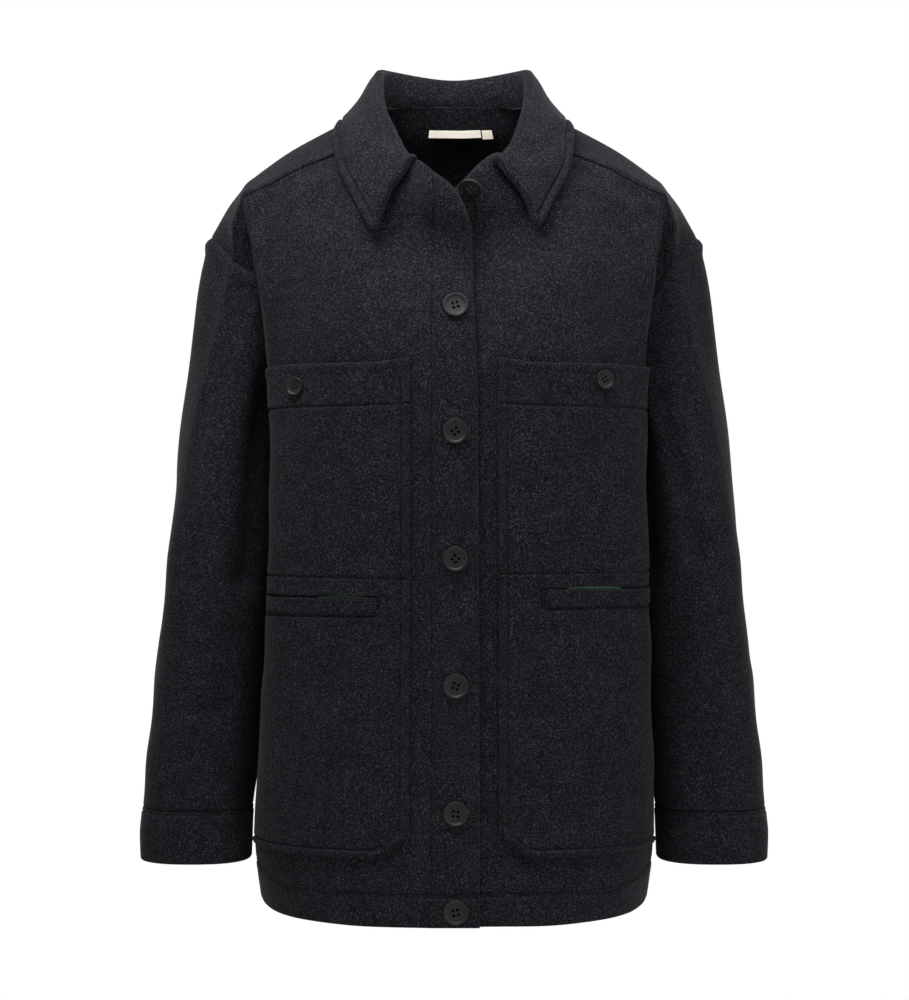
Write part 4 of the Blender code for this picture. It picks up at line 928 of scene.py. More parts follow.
sleeveRuns = spread(0.0, sleeve["length"], cloth["step"], [0.0, sleeve["length"]])
cuffRuns = spread(0.0, cuff["length"], cuff["step"], [0.0, cuff["length"], cuff["stitchIn"]])
girth = sleeve["girth"]
ringAt = lambda row: [(0.0, row), (girth, row)]
for side in lying:
    armhole, shares = armholeOf(side)
    columnPlace, rowPlace = places(shares * girth, sleeveRuns)
    sleeveGrid = sleeveSurface(armhole, shares, sleeveRuns)
    sleeveGrid = creased(sleeveGrid, facingOf(sleeveGrid, True), columnPlace, rowPlace,
                         sleeve["creases"][side])
    # the cloth stands up beside the armhole seam
    ridge = sleeve["armholeRidge"] * near(rowPlace - sleeve["ridgeAt"], sleeve["ridgeReach"])
    ridge -= sleeve["seamDip"] * near(rowPlace, sleeve["dipReach"])
    wave = uneven(np.sin(2 * math.pi * columnPlace / girth) * girth / 6, rowPlace, sleeve["wavePhase"])
    wave *= rising(rowPlace, 0.0, sleeve["capFade"])
    wave *= 1 - rising(rowPlace, sleeve["length"] - cloth["edgeFade"], sleeve["length"])
    form = sleeveGrid.copy()
    form[0] -= unit(sleeveGrid[1] - sleeveGrid[0]) * sleeve["tuck"]
    form[-1] += unit(sleeveGrid[-2] - sleeveGrid[-1]) * cloth["seamGap"]
    form, columnPlace, rowPlace, ridge, wave = handed(side, form, columnPlace, rowPlace, ridge, wave)
    sewnPiece("sleeve_" + side, form, facingOf(form, True), cloth["single"], columnPlace, rowPlace,
              True, ridge, wave, seams=[ringAt(sleeve["length"])])
    cuffGrid = spline([ring.run for ring in cuff["rings"]],
                      np.array([ringPoints(ring, shares) for ring in cuff["rings"]]), cuffRuns)
    columnPlace, rowPlace = places(shares * girth, cuffRuns)
    form, columnPlace, rowPlace = handed(side, trimmed(cuffGrid, 1, 0, 0, 0), columnPlace, rowPlace)
    sewnPiece("cuff_" + side, form, facingOf(form, True), cloth["double"], columnPlace, rowPlace, True,
              seams=[ringAt(0.0)], free=[ringAt(cuff["length"])], stitches=[ringAt(cuff["stitchIn"])])
print("sleeves and cuffs done")

# Collar: stand, rolled fold and leaf in one doubled piece, stitched along its edge
CollarStation = namedtuple("collarStation", "reach seam fold edge roll belly blunt scoop")
collar = {
    "stations": [
        CollarStation(0.000, (0.0370, -0.1060, -0.0470), (0.0368, -0.1105, -0.0450),
                      (0.0730, -0.1270, -0.1095), 0.0026, 0.0030, 0.0035, 0.0041),
        CollarStation(0.028, (0.0562, -0.0858, -0.0322), (0.0505, -0.0905, -0.0255),
                      (0.0845, -0.1120, -0.0870), 0.0030, 0.0030, 0.0010, 0.0018),
        CollarStation(0.055, (0.0695, -0.0655, -0.0195), (0.0595, -0.0645, 0.0005),
                      (0.1048, -0.0820, -0.0435), 0.0036, 0.0020, 0.0, 0.0),
        CollarStation(0.127, (0.0755, -0.0055, 0.0207), (0.0665, 0.0000, 0.0525),
                      (0.1092, -0.0040, 0.0024), 0.0042, -0.0042, 0.0, 0.0),
        CollarStation(0.177, (0.0575, 0.0355, 0.0282), (0.0555, 0.0380, 0.0600),
                      (0.0850, 0.0690, 0.0060), 0.0044, -0.0010, 0.0, 0.0),
        CollarStation(0.240, (0.0000, 0.0534, 0.0312), (0.0000, 0.0585, 0.0555),
                      (0.0000, 0.0870, -0.0075), 0.0044, 0.0010, 0.0, 0.0),
    ],
    "knots": [0.0, 0.13, 0.25, 0.32, 0.39, 0.70, 1.0],
    "thick": 0.0034, "length": 0.56, "tall": 0.092, "stitchIn": 0.0078, "groove": 2.2, "foldShare": 0.34,
    "acrossStep": 0.0026, "pointRound": 0.009, "notchRound": 0.0035, "stitchRound": 0.004,
    "drawDown": 0.0015, "drawIn": 0.0013, "drawReach": 0.007, "drawFrom": (0.05, 0.09),
    "drawMost": (0.185, 0.04), "lean": 0.0040, "leanAt": 0.038, "leanReach": 0.030,
    "tipShift": (0.0032, -0.0010, -0.0045), "tipReach": 0.035, "centreY": -0.02,
    "standHollow": 0.001, "scoopWay": (0.853, 0.0, 0.520),
    "openSeam": 0.06,  # the neck seam starts this far from each end
    "puffRun": ([0.0, 0.090, 0.130, 0.240], [0.0034, 0.0034, 0.0005, 0.0011]),
    "creases": [
        Crease(0.055, 0.520, 0.080, 0.470, 0.008, 0.0022),
        Crease(0.046, 0.505, 0.070, 0.455, 0.010, -0.0012),
        Crease(0.055, 0.110, 0.080, 0.125, 0.012, 0.0009),
    ],
    "flat": (0.60, 0.105), "area": 0.052,
}


def collarSurface(stations, profile):
    half = []
    for station in collar["stations"]:
        seam, fold, edge = (np.array(point) for point in (station.seam, station.fold, station.edge))
        away = unit(np.array([fold[0], fold[1] - collar["centreY"], 0.0]))
        lift = np.array([0.0, 0.0, 1.0])
        outer = fold + away * 2 * station.roll - lift * station.blunt
        lean = unit(np.cross(np.cross(edge - outer, away), edge - outer))
        scoop = np.array(collar["scoopWay"]) * station.scoop
        half.append([seam, (seam + fold) / 2 - away * collar["standHollow"], fold - lift * station.roll,
                     fold + away * station.roll, outer - lift * station.roll + 0.5 * scoop,
                     (outer + edge) / 2 + lean * station.belly + scoop, edge])
    other = [[point * np.array([-1.0, 1.0, 1.0]) for point in line] for line in half]
    keys = np.array(other + half[::-1][1:])
    reach = [station.reach for station in collar["stations"]]
    whole = 2 * reach[-1]
    return loft(keys, reach + [whole - run for run in reach[::-1][1:]], collar["knots"],
                np.asarray(stations) * whole, profile)


wide, tall, inset = collar["length"], collar["tall"], collar["stitchIn"]
foldAt = collar["foldShare"] * tall
collarColumns = spread(0.0, wide, collar["acrossStep"], [0.0, inset, wide - inset, wide])
collarRows = spread(0.0, tall, cloth["narrowStep"], [0.0, tall - inset, tall])
columnPlace, rowPlace = places(collarColumns, collarRows)
# both points, and the notches where the leaf leaves the fold, are rounded
fromEnd = np.minimum(columnPlace, wide - columnPlace)
reach, fromEdge = roundCorner(fromEnd, tall - rowPlace, collar["pointRound"])
rowPlace = tall - fromEdge
onLeaf = rowPlace >= foldAt
notched, fromFold = roundCorner(reach, rowPlace - foldAt, collar["notchRound"])
reach, rowPlace = np.where(onLeaf, notched, reach), np.where(onLeaf, foldAt + fromFold, rowPlace)
columnPlace = np.where(columnPlace < wide / 2, reach, wide - reach)
collarGrid = collarSurface(columnPlace / wide, rowPlace / tall)
# on the wearer's right the roll leans a little further in, and the point hangs lower
lean = near(columnPlace - collar["leanAt"], collar["leanReach"]) * (1 - rising(rowPlace, foldAt, tall))
collarGrid[..., 0] += collar["lean"] * lean
tipNear = near(columnPlace, collar["tipReach"]) * rising(rowPlace, foldAt, tall)
collarGrid += np.array(collar["tipShift"]) * tipNear[..., None]
collarFacing = facingOf(collarGrid)
collarForm = creased(collarGrid + collarFacing * collar["thick"] / 2, collarFacing, columnPlace, rowPlace,
                     collar["creases"])
# the stand's lower edge is drawn down over the neck seam inside
drawn = (1 - rising(rowPlace, 0.0, collar["drawReach"])) * rising(fromEnd, *collar["drawFrom"])
mostAt, mostReach = collar["drawMost"]
drawn = drawn * (1 + near(fromEnd - mostAt, mostReach))
collarForm[..., 2] -= collar["drawDown"] * drawn
collarForm -= collarFacing * (collar["drawIn"] * drawn)[..., None]
leafEdge = rounded([(0.0, foldAt), (0.0, tall), (wide, tall), (wide, foldAt)], collar["pointRound"])
stitchEdge = rounded([(inset, foldAt), (inset, tall - inset), (wide - inset, tall - inset),
                      (wide - inset, foldAt)], collar["stitchRound"])
sewnPiece("collar", collarForm, collarFacing, collar["thick"], columnPlace, rowPlace, groove=collar["groove"],
          free=[leafEdge, [(0.0, 0.0), (0.0, foldAt)], [(wide, 0.0), (wide, foldAt)]],
          seams=[[(collar["openSeam"], 0.0), (wide - collar["openSeam"], 0.0)]], stitches=[stitchEdge],
          puffs=[(leafEdge, inset, np.interp(fromEnd, *collar["puffRun"]))])
print("collar done")

# Neck label and size tab: bare woven strips on the inside of the back yoke
NeckTag = namedtuple("neckTag", "node centre half top base wave flat")
neckTags = [
    NeckTag("neck_label", 0.002, 0.062, 0.1365, 0.1735, 0.0003, (0.0500, 0.0100)),
    NeckTag("size_tab", 0.0795, 0.0135, 0.139, 0.182, 0.0002, (0.0105, 0.0100)),
]
ribbon = {"thick": 0.0006, "clear": 0.0010, "standOff": 0.0045, "waveTurn": 90.0}
for tag in neckTags:
    columns, rows = np.linspace(-tag.half, tag.half, 70), np.linspace(tag.top, tag.base, 16)
    strip = yokeSurface(rows[:, None], wholeReach / 2 + tag.centre + columns[None])
    facing = facingOf(strip)
    # the lower edge stands off the cloth, so the strip faces up
    stand = ribbon["standOff"] * (rows - tag.top) / (tag.base - tag.top)
    wave = tag.wave * np.sin(columns * ribbon["waveTurn"])
    lie = cloth["single"] + ribbon["clear"] + wave[None, :, None] + stand[:, None, None]
    outer = trimmed(strip - facing * lie)
    clothShell(tag.node, outer, outer - facing * ribbon["thick"])
print("label and tab done")

# Buttons: one four-hole button turned, dished, drilled and copied to each place
button = {
    "radius": 0.0108, "smallRadius": 0.0081, "thick": 0.0032, "rim": 0.0016, "softEdge": 0.0006,
    "dish": 0.0013, "dishSlope": 0.0011, "floorIn": 0.0030, "floorDip": 0.00018,
    "holeRadius": 0.00135, "holeReach": 0.0029,
    "line": 0.0015, "first": -0.1746, "spacing": 0.1102, "onHem": -0.7005,
    "top": (0.0158, -0.0680), "topToward": (-0.22, -0.72, -0.66), "topProud": 0.0036,
    "pockets": {"left": (0.1295, -0.239), "right": (-0.1395, -0.2438)}, "pocketForward": 0.5,
    "pocketProud": 0.0007, "spin": 0.3, "topSpin": 0.5, "pocketSpin": 0.4,
}


def pickFaces(mesh, test):
    bpy.ops.object.mode_set(mode="OBJECT")
    for face in mesh.polygons:
        face.select = test(face)
    bpy.ops.object.mode_set(mode="EDIT")


bpy.ops.object.select_all(action="DESELECT")
bpy.ops.mesh.primitive_cylinder_add(vertices=64, radius=button["radius"], depth=button["thick"],
                                    location=(0.0, 0.0, button["thick"] / 2))
turned = bpy.context.object
bpy.ops.object.transform_apply(location=True)
bpy.ops.object.mode_set(mode="EDIT")
bpy.ops.mesh.select_mode(type="FACE")
top = lambda face: face.normal.z > 0.9 and face.center.z > 0.9 * button["thick"]
pickFaces(turned.data, top)
bpy.ops.mesh.inset(thickness=button["rim"])
bpy.ops.mesh.inset(thickness=button["dishSlope"], depth=-button["dish"])
bpy.ops.mesh.inset(thickness=button["floorIn"], depth=-button["floorDip"])
bpy.ops.object.mode_set(mode="OBJECT")
softened = turned.modifiers.new("softened", "BEVEL")
softened.width, softened.segments, softened.limit_method = button["softEdge"], 4, "ANGLE"
softened.angle_limit = math.radians(25)
bpy.ops.object.modifier_apply(modifier="softened")
for corner in range(4):
    angle = math.pi / 4 + corner * math.pi / 2
    bpy.ops.object.select_all(action="DESELECT")
    bpy.ops.mesh.primitive_cylinder_add(
        vertices=20, radius=button["holeRadius"], depth=3 * button["thick"],
        location=(button["holeReach"] * math.cos(angle), button["holeReach"] * math.sin(angle), 0.0))
    drill = bpy.context.object
    bpy.context.view_layer.objects.active = turned
    hole = turned.modifiers.new("hole", "BOOLEAN")
    hole.object, hole.operation, hole.solver = drill, "DIFFERENCE", "EXACT"
    bpy.ops.object.modifier_apply(modifier="hole")
    bpy.data.objects.remove(drill)
bpy.ops.object.select_all(action="DESELECT")
turned.select_set(True)
bpy.ops.object.shade_smooth_by_angle(angle=math.radians(32))


def setButton(node, grid, facing, x, z, radius, spin, toward=None, proud=0.0):
    # a copy of the button on the grid point nearest to x and z as seen from the front
    apart = np.abs(grid[..., 0] - x) + np.abs(grid[..., 2] - z)
    row, column = np.unravel_index(np.argmin(apart), apart.shape)
    toward = Vector(toward or facing[row, column]).normalized()
    seat = Vector(grid[row, column]) + toward * (cloth["lay"] + proud)
    copy = turned.copy()
    copy.data = turned.data.copy()
    copy.name = copy.data.name = node + "_turned"
    bpy.context.collection.objects.link(copy)
    turn = toward.to_track_quat("Z", "Y").to_matrix().to_4x4() @ Matrix.Rotation(spin, 4, "Z")
    size = Matrix.Diagonal((radius / button["radius"],) * 2 + (1.0, 1.0))
    copy.data.transform(Matrix.Translation(seat) @ turn @ size)
    pieces[node] = copy


fineRows = np.linspace(levels["hemEdge"], levels["neckCorner"], 652)
fineParts = np.linspace(0.0, 1.0, 43)[None]
overFace = mirrored(placketSurface(fineRows, "over", fineParts))
underFace = placketSurface(fineRows, "under", fineParts)
heights = [button["first"] - button["spacing"] * step for step in range(5)] + [button["onHem"]]
for number, height in enumerate(heights, start=1):
    setButton(f"button_{number}", overFace, facingOf(overFace), button["line"], height, button["radius"],
              button["spin"] * number)
setButton("button_top", underFace, facingOf(underFace), *button["top"], button["radius"], button["topSpin"],
          button["topToward"], button["topProud"])
for side, (x, z) in button["pockets"].items():
    face = faces["pocket_" + side]
    forward = unit(face["facing"] + np.array([0.0, -button["pocketForward"], 0.0]))
    setButton("button_pocket_" + side, face["outer"], forward, x, z, button["smallRadius"],
              button["pocketSpin"], proud=button["pocketProud"])
bpy.data.objects.remove(turned)
print("buttons done")

# Threads: one short stitch, repeated along every sewn line of a piece
bpy.ops.object.select_all(action="DESELECT")
bpy.ops.mesh.primitive_uv_sphere_add(segments=5, ring_count=3, radius=1.0)
stitch = bpy.context.object
stitchCorners = np.array([corner.co for corner in stitch.data.vertices])
stitchFaces = [list(face.vertices) for face in stitch.data.polygons]
bpy.data.objects.remove(stitch)


def onFace(face, column, row):
    # a flat place of a piece, brought to its outer face, with the facing there
    middle = face["row"].shape[1] // 2
    rows = face["row"][:, middle]
    at = float(np.interp(row, rows, np.arange(len(rows))))
    low = min(int(at), len(rows) - 2)
    ends = []
    for line in (low, low + 1):
        columns = face["column"][line]
        order = slice(None) if columns[0] < columns[-1] else slice(None, None, -1)
        here = float(np.interp(column, columns[order], np.arange(len(columns))[order]))
        left = min(int(here), len(columns) - 2)
        blend = lambda grid: grid[line, left] + (here - left) * (grid[line, left + 1] - grid[line, left])
        ends.append((blend(face["outer"]), blend(face["facing"])))
    part = at - low
    return ends[0][0] * (1 - part) + ends[1][0] * part, ends[0][1] * (1 - part) + ends[1][1] * part


def stitchesAlong(face, path):
    corners = np.array(path, float)
    run = np.concatenate([[0], np.cumsum(np.hypot(*np.diff(corners, axis=0).T))])
    count = max(1, int(run[-1] / sewing["pitch"]))
    placed = []
    for number in range(count):
        middle = (number + 0.5) * run[-1] / count
        ends = []
        for at in (middle - sewing["length"] / 2, middle + sewing["length"] / 2):
            ends.append(onFace(face, np.interp(at, run, corners[:, 0]), np.interp(at, run, corners[:, 1])))
        placed.append((ends[0][0], ends[1][0], (ends[0][1] + ends[1][1]) / 2))
    return placed


def sewThreads(name, placed):
    corners, faceList = [], []
    for start, end, facing in placed:
        along = unit(end - start)
        across = unit(np.cross(facing, along))
        up = np.cross(along, across)
        frameOf = np.stack([across * sewing["threadWidth"], up * sewing["threadHeight"],
                            along * np.linalg.norm(end - start) / 2])
        faceList += [[index + len(corners) * len(stitchCorners) for index in face] for face in stitchFaces]
        corners.append((start + end) / 2 + up * sewing["threadHeight"] * 0.5 + stitchCorners @ frameOf)
    mesh = bpy.data.meshes.new(name)
    mesh.from_pydata(np.concatenate(corners).tolist(), [], faceList)
    mesh.polygons.foreach_set("use_smooth", [True] * len(mesh.polygons))
    threads = bpy.data.objects.new(name, mesh)
    bpy.context.collection.objects.link(threads)
    return threads


# Buttonholes: a slit edged with close cross stitches, barred at both ends
buttonhole = {"half": 0.0121, "edge": 0.0010, "reach": 0.0016, "pitch": 0.0008, "column": 0.021,
              "shifts": [0.0022, 0.0, 0.0006, -0.0004, -0.0034], "hemColumn": 0.0312}


def buttonholeStitches(face, column, row, upright):
    half, inner = buttonhole["half"], buttonhole["edge"] - buttonhole["reach"] / 2
    outer = buttonhole["edge"] + buttonhole["reach"] / 2
    lines = [((along, side * inner), (along, side * outer))
             for along in np.arange(-half, half, buttonhole["pitch"]) for side in (-1, 1)]
    lines += [((along, -outer), (along, outer)) for end in (-half, half) for along in (end, end * 1.05)]
    lines += [((-half, 0.0), (half, 0.0))]
    placed = []
    for line in lines:
        first, last = (onFace(face, column + across, row + along) if upright else
                       onFace(face, column + along, row + across) for along, across in line)
        placed.append((first[0], last[0], (first[1] + last[1]) / 2))
    return placed


trims = {}
placed = [stitch for height, shift in zip(heights, buttonhole["shifts"]) for stitch in buttonholeStitches(
    faces["placket_right"], buttonhole["column"], height + shift, True)]
trims["buttonholes_placket"] = sewThreads("buttonholes_placket", placed)
trims["buttonhole_hem"] = sewThreads("buttonhole_hem", buttonholeStitches(
    faces["hem_band"], hemRun[-1] - buttonhole["hemColumn"], button["onHem"], False))
for name, face in faces.items():
    placed = [stitch for path in face["stitches"] for stitch in stitchesAlong(face, path)]
    if placed:
        trims["thread_" + name] = sewThreads("thread_" + name, placed)
print("threads done,", sum(len(trim.data.polygons) for trim in trims.values()), "faces")


def linear(hexColour):
    shares = [int(hexColour[place:place + 2], 16) / 255 for place in (1, 3, 5)]
    return tuple(c / 12.92 if c <= 0.04045 else ((c + 0.055) / 1.055) ** 2.4 for c in shares) + (1.0,)


def addNode(tree, kind, values=None, links=None, **settings):
    node = tree.nodes.new(kind)
    for key, value in settings.items():
        setattr(node, key, value)
    for key, value in (values or {}).items():
        node.inputs[key].default_value = value
    for key, source in (links or {}).items():
        tree.links.new(source, node.inputs[key])
    return node


def newMaterial(name):
    material = bpy.data.materials.new(name)
    material.use_nodes = True
    return material, material.node_tree, material.node_tree.nodes["Principled BSDF"]


# Wool melton, milled and brushed: matte charcoal with pale and bluish fibres and a soft nap
# Real fibres are finer than a pixel of the render, so flecks and fibres are drawn about a millimetre wide
wool = {"ground": "#212024", "pale": "#68676e", "dark": "#050506", "blue": "#29293b",
        "fleck": 0.0013, "fibre": 0.0010, "mottle": 0.016, "roughness": 0.93, "specular": 0.05,
        "sheen": 0.05, "sheenRoughness": 0.5, "napStrength": 0.45, "napDepth": 0.0005}
woolCloth, tree, surface = newMaterial("charcoal_wool_melton")
coordinate = addNode(tree, "ShaderNodeTexCoord")
onCloth = {"Vector": coordinate.outputs["Object"]}
flecks, fibres, mottle = (
    addNode(tree, "ShaderNodeTexNoise",
            {"Scale": 1 / wool[size], "Detail": fine, "Roughness": rough}, onCloth)
    for size, fine, rough in (("fleck", 2.0, 0.55), ("fibre", 1.0, 0.5), ("mottle", 3.0, 0.6)))
paleAmount, darkAmount, blueAmount = (
    addNode(tree, "ShaderNodeMapRange", {"From Min": low, "From Max": high}, {"Value": noise.outputs["Fac"]})
    for noise, low, high in ((flecks, 0.50, 0.80), (fibres, 0.52, 0.26), (fibres, 0.56, 0.74)))
# a colour Mix node has its two colours at inputs 6 and 7 and its result at output 2
paled = addNode(tree, "ShaderNodeMix", {6: linear(wool["ground"]), 7: linear(wool["pale"])},
                {0: paleAmount.outputs["Result"]}, data_type="RGBA")
darkened = addNode(tree, "ShaderNodeMix", {7: linear(wool["dark"])},
                   {0: darkAmount.outputs["Result"], 6: paled.outputs[2]}, data_type="RGBA")
tinted = addNode(tree, "ShaderNodeMix", {7: linear(wool["blue"])},
                 {0: blueAmount.outputs["Result"], 6: darkened.outputs[2]}, data_type="RGBA")
shade = addNode(tree, "ShaderNodeMapRange",
                {"From Min": 0.3, "From Max": 0.7, "To Min": 0.84, "To Max": 1.16},
                {"Value": mottle.outputs["Fac"]})
shaded = addNode(tree, "ShaderNodeVectorMath", None, {0: tinted.outputs[2], 1: shade.outputs["Result"]},
                 operation="MULTIPLY")
nap = addNode(tree, "ShaderNodeMath", None, {0: fibres.outputs["Fac"], 1: flecks.outputs["Fac"]},
              operation="ADD")
napBump = addNode(tree, "ShaderNodeBump", {"Strength": wool["napStrength"], "Distance": wool["napDepth"]},
                  {"Height": nap.outputs["Value"]})
tree.links.new(shaded.outputs["Vector"], surface.inputs["Base Color"])
tree.links.new(napBump.outputs["Normal"], surface.inputs["Normal"])
surface.inputs["Roughness"].default_value = wool["roughness"]
surface.inputs["Specular IOR Level"].default_value = wool["specular"]
surface.inputs["Sheen Weight"].default_value = wool["sheen"]
surface.inputs["Sheen Roughness"].default_value = wool["sheenRoughness"]

# Polyester sewing thread, spun, with a faint gloss: both its tones are painted darker than the cloth, a
# painted shade of the groove the thread sinks into
# Its plies are too fine to show in the render, so their change of tone is drawn over a millimetre long
threadLook = {"dark": "#101012", "light": "#1e1e21", "ply": 0.0012, "roughness": 0.7}
threadCord, tree, surface = newMaterial("charcoal_sewing_thread")
coordinate = addNode(tree, "ShaderNodeTexCoord")
plies = addNode(tree, "ShaderNodeTexNoise", {"Scale": 1 / threadLook["ply"], "Detail": 1.0},
                {"Vector": coordinate.outputs["Object"]})
ply = addNode(tree, "ShaderNodeMix", {6: linear(threadLook["dark"]), 7: linear(threadLook["light"])},
              {0: plies.outputs["Fac"]}, data_type="RGBA")
tree.links.new(ply.outputs[2], surface.inputs["Base Color"])
surface.inputs["Roughness"].default_value = threadLook["roughness"]

# Polyester resin button, turned and tumbled: satin charcoal with a faint cloud and fine pits
# The pits are drawn nearly a millimetre wide, because real ones are too fine to show in the render
resin = {"dark": "#1f1f21", "light": "#29292b", "cloud": 0.006, "grit": 0.0009, "ior": 1.5}
buttonResin, tree, surface = newMaterial("charcoal_resin_button")
coordinate = addNode(tree, "ShaderNodeTexCoord")
cloud = addNode(tree, "ShaderNodeTexNoise", {"Scale": 1 / resin["cloud"], "Detail": 4.0, "Roughness": 0.6},
                {"Vector": coordinate.outputs["Object"]})
clouded = addNode(tree, "ShaderNodeMix", {6: linear(resin["dark"]), 7: linear(resin["light"])},
                  {0: cloud.outputs["Fac"]}, data_type="RGBA")
grit = addNode(tree, "ShaderNodeTexNoise", {"Scale": 1 / resin["grit"], "Detail": 2.0},
               {"Vector": coordinate.outputs["Object"]})
worn = addNode(tree, "ShaderNodeMapRange", {"To Min": 0.42, "To Max": 0.58}, {"Value": grit.outputs["Fac"]})
pitted = addNode(tree, "ShaderNodeBump", {"Strength": 0.12, "Distance": 0.0002},
                 {"Height": grit.outputs["Fac"]})
tree.links.new(clouded.outputs[2], surface.inputs["Base Color"])
tree.links.new(worn.outputs["Result"], surface.inputs["Roughness"])
tree.links.new(pitted.outputs["Normal"], surface.inputs["Normal"])
surface.inputs["IOR"].default_value = resin["ior"]

# Cotton pocket lining, plain weave in green: matte, with fine lines of thread
# The threads are drawn about three times too coarse, to show; waves of scale 0.314 are one unit apart
cotton = {"dark": "#355443", "light": "#547c66", "thread": 0.0011, "roughness": 0.85}
liningCotton, tree, surface = newMaterial("green_cotton_lining")
coordinate = addNode(tree, "ShaderNodeTexCoord")
weave = addNode(tree, "ShaderNodeTexWave", {"Scale": 0.314 / cotton["thread"], "Distortion": 1.0},
                {"Vector": coordinate.outputs["UV"]})
woven = addNode(tree, "ShaderNodeMix", {6: linear(cotton["dark"]), 7: linear(cotton["light"])},
                {0: weave.outputs["Fac"]}, data_type="RGBA")
weaveBump = addNode(tree, "ShaderNodeBump", {"Strength": 0.3, "Distance": 0.0002},
                    {"Height": weave.outputs["Fac"]})
tree.links.new(woven.outputs[2], surface.inputs["Base Color"])
tree.links.new(weaveBump.outputs["Normal"], surface.inputs["Normal"])
surface.inputs["Roughness"].default_value = cotton["roughness"]

# Woven satin label, left bare: cream, with close crosswise threads, drawn coarse to show in the render
satin = {"dark": "#f1e9d6", "light": "#fdf7ea", "thread": 0.0010, "roughness": 0.6}
labelSatin, tree, surface = newMaterial("cream_woven_label")
coordinate = addNode(tree, "ShaderNodeTexCoord")
ribs = addNode(tree, "ShaderNodeTexWave", {"Scale": 0.314 / satin["thread"], "Distortion": 0.6},
               {"Vector": coordinate.outputs["UV"]}, bands_direction="Y")
ribbing = addNode(tree, "ShaderNodeMix", {6: linear(satin["dark"]), 7: linear(satin["light"])},
                  {0: ribs.outputs["Fac"]}, data_type="RGBA")
ribBump = addNode(tree, "ShaderNodeBump", {"Strength": 0.25, "Distance": 0.0002},
                  {"Height": ribs.outputs["Fac"]})
tree.links.new(ribbing.outputs[2], surface.inputs["Base Color"])
tree.links.new(ribBump.outputs["Normal"], surface.inputs["Normal"])
surface.inputs["Roughness"].default_value = satin["roughness"]

finishes = {"wool": woolCloth, "button": buttonResin, "lining": liningCotton, "label": labelSatin}


def dress(piece, material):
    piece.data.materials.clear()
    piece.data.materials.append(material)
    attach(piece, "root")


for node, piece in pieces.items():
    slot = "button" if node.startswith("button") else "lining" if "lining" in node else \
        "label" if node in ("neck_label", "size_tab") else "wool"
    dress(piece, finishes[slot])
    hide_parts(node)
for trim in trims.values():
    dress(trim, threadCord)
print("materials done")

# The pieces of each side, gathered by name in a table that nothing further uses
for side in lying:
    mine = {node: pieces[node + "_" + side] for node in (
        "front", "placket", "pocket", "welt", "pocket_lining", "sleeve", "cuff")}

# Pale floor well below the hem, a white studio and soft light from above
studio = {"floor": -1.45, "floorSize": 5.0, "dark": "#e9e9e9", "light": "#f2f2f2", "scuff": 1 / 6,
          "roughness": 0.9, "ambient": 0.006}
bpy.ops.object.select_all(action="DESELECT")
bpy.ops.mesh.primitive_plane_add(size=studio["floorSize"], location=(0.0, 0.0, studio["floor"]))
floor = bpy.context.object
floor.name = "studio_floor"
bpy.ops.object.transform_apply(location=True)
paleFloor, tree, surface = newMaterial("pale_floor")
coordinate = addNode(tree, "ShaderNodeTexCoord")
scuffs = addNode(tree, "ShaderNodeTexNoise", {"Scale": 1 / studio["scuff"], "Detail": 4.0},
                 {"Vector": coordinate.outputs["Object"]})
floorTone = addNode(tree, "ShaderNodeMix", {6: linear(studio["dark"]), 7: linear(studio["light"])},
                    {0: scuffs.outputs["Fac"]}, data_type="RGBA")
tree.links.new(floorTone.outputs[2], surface.inputs["Base Color"])
surface.inputs["Roughness"].default_value = studio["roughness"]
floor.data.materials.append(paleFloor)

world = bpy.data.worlds.new("studio")
bpy.context.scene.world = world
world.use_nodes = True
tree = world.node_tree
tree.nodes.clear()
seen, ambient = (addNode(tree, "ShaderNodeBackground", {"Color": (1.0, 1.0, 1.0, 1.0), "Strength": strength})
                 for strength in (1.0, studio["ambient"]))
ray = addNode(tree, "ShaderNodeLightPath")
either = addNode(tree, "ShaderNodeMixShader", None, {
    0: ray.outputs["Is Camera Ray"], 1: ambient.outputs["Background"], 2: seen.outputs["Background"]})
addNode(tree, "ShaderNodeOutputWorld", None, {"Surface": either.outputs["Shader"]})

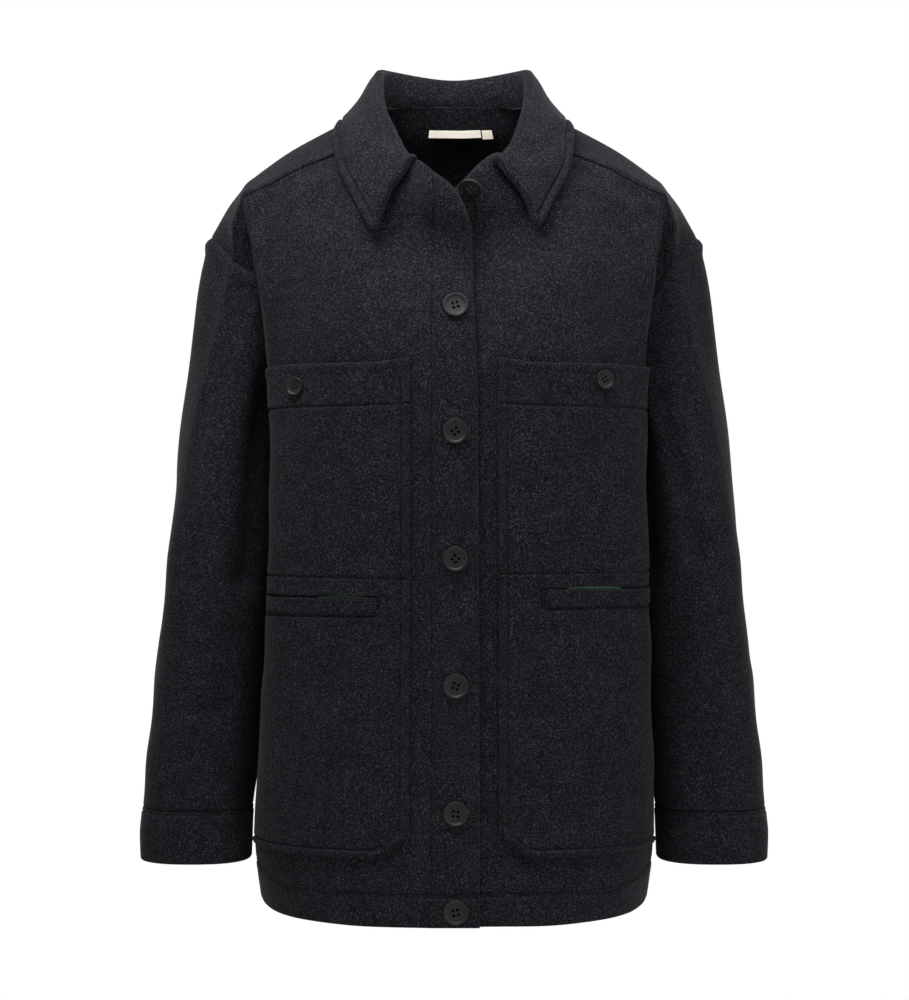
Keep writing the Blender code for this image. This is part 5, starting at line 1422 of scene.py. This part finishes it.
AreaLamp = namedtuple("areaLamp", "name place aim size tall power")
lamps = [
    AreaLamp("top_left", (-0.35, -0.5, 0.8), (0.0, -0.1, -0.15), 0.6, 0.5, 10.5),
    AreaLamp("top_right", (0.35, -0.5, 0.8), (0.0, -0.1, -0.15), 0.6, 0.5, 4.0),
    AreaLamp("side_left", (-2.8, -0.6, 0.8), (0.0, 0.0, -0.35), 1.6, 1.8, 6.0),
    AreaLamp("side_right", (2.8, -0.6, 0.8), (0.0, 0.0, -0.35), 1.6, 1.8, 16.0),
    AreaLamp("low_left", (-1.2, -1.8, -1.0), (0.0, 0.0, -0.5), 1.0, 0.8, 2.5),
    AreaLamp("low_right", (1.2, -1.8, -1.0), (0.0, 0.0, -0.5), 1.0, 0.8, 5.5),
    AreaLamp("overhead", (0.0, -0.6, 3.4), (0.0, 0.0, -0.3), 2.2, 1.6, 6.0),
    AreaLamp("level_fill", (0.0, -3.4, 0.2), (0.0, 0.0, -0.35), 2.2, 1.6, 3.6),
    AreaLamp("back_left", (-1.5, 2.6, 0.3), (0.0, 0.1, -0.35), 1.6, 1.8, 34.0),
    AreaLamp("back_right", (1.5, 2.6, 0.3), (0.0, 0.1, -0.35), 1.6, 1.8, 46.0),
]
for lamp in lamps:
    bpy.ops.object.light_add(type="AREA", location=lamp.place)
    shone = bpy.context.object
    shone.name = lamp.name
    shone.data.shape, shone.data.size, shone.data.size_y = "RECTANGLE", lamp.size, lamp.tall
    shone.data.energy = lamp.power
    shone.rotation_euler = (Vector(lamp.aim) - Vector(lamp.place)).to_track_quat("-Z", "Y").to_euler()

bpy.context.scene.view_settings.view_transform = "Standard"
bpy.context.scene.view_settings.look = "None"

camera = {"place": (0.0, -2.2, -0.344), "focalPixels": 2366.0, "imageTall": 1000, "sensor": 36.0,
          "shiftX": 0.0005}
bpy.ops.object.camera_add(location=camera["place"], rotation=(math.pi / 2, 0.0, 0.0))
viewer = bpy.context.object
viewer.data.sensor_width = camera["sensor"]
viewer.data.lens = camera["sensor"] * camera["focalPixels"] / camera["imageTall"]
viewer.data.shift_x = camera["shiftX"]
bpy.context.scene.camera = viewer
print("studio done")
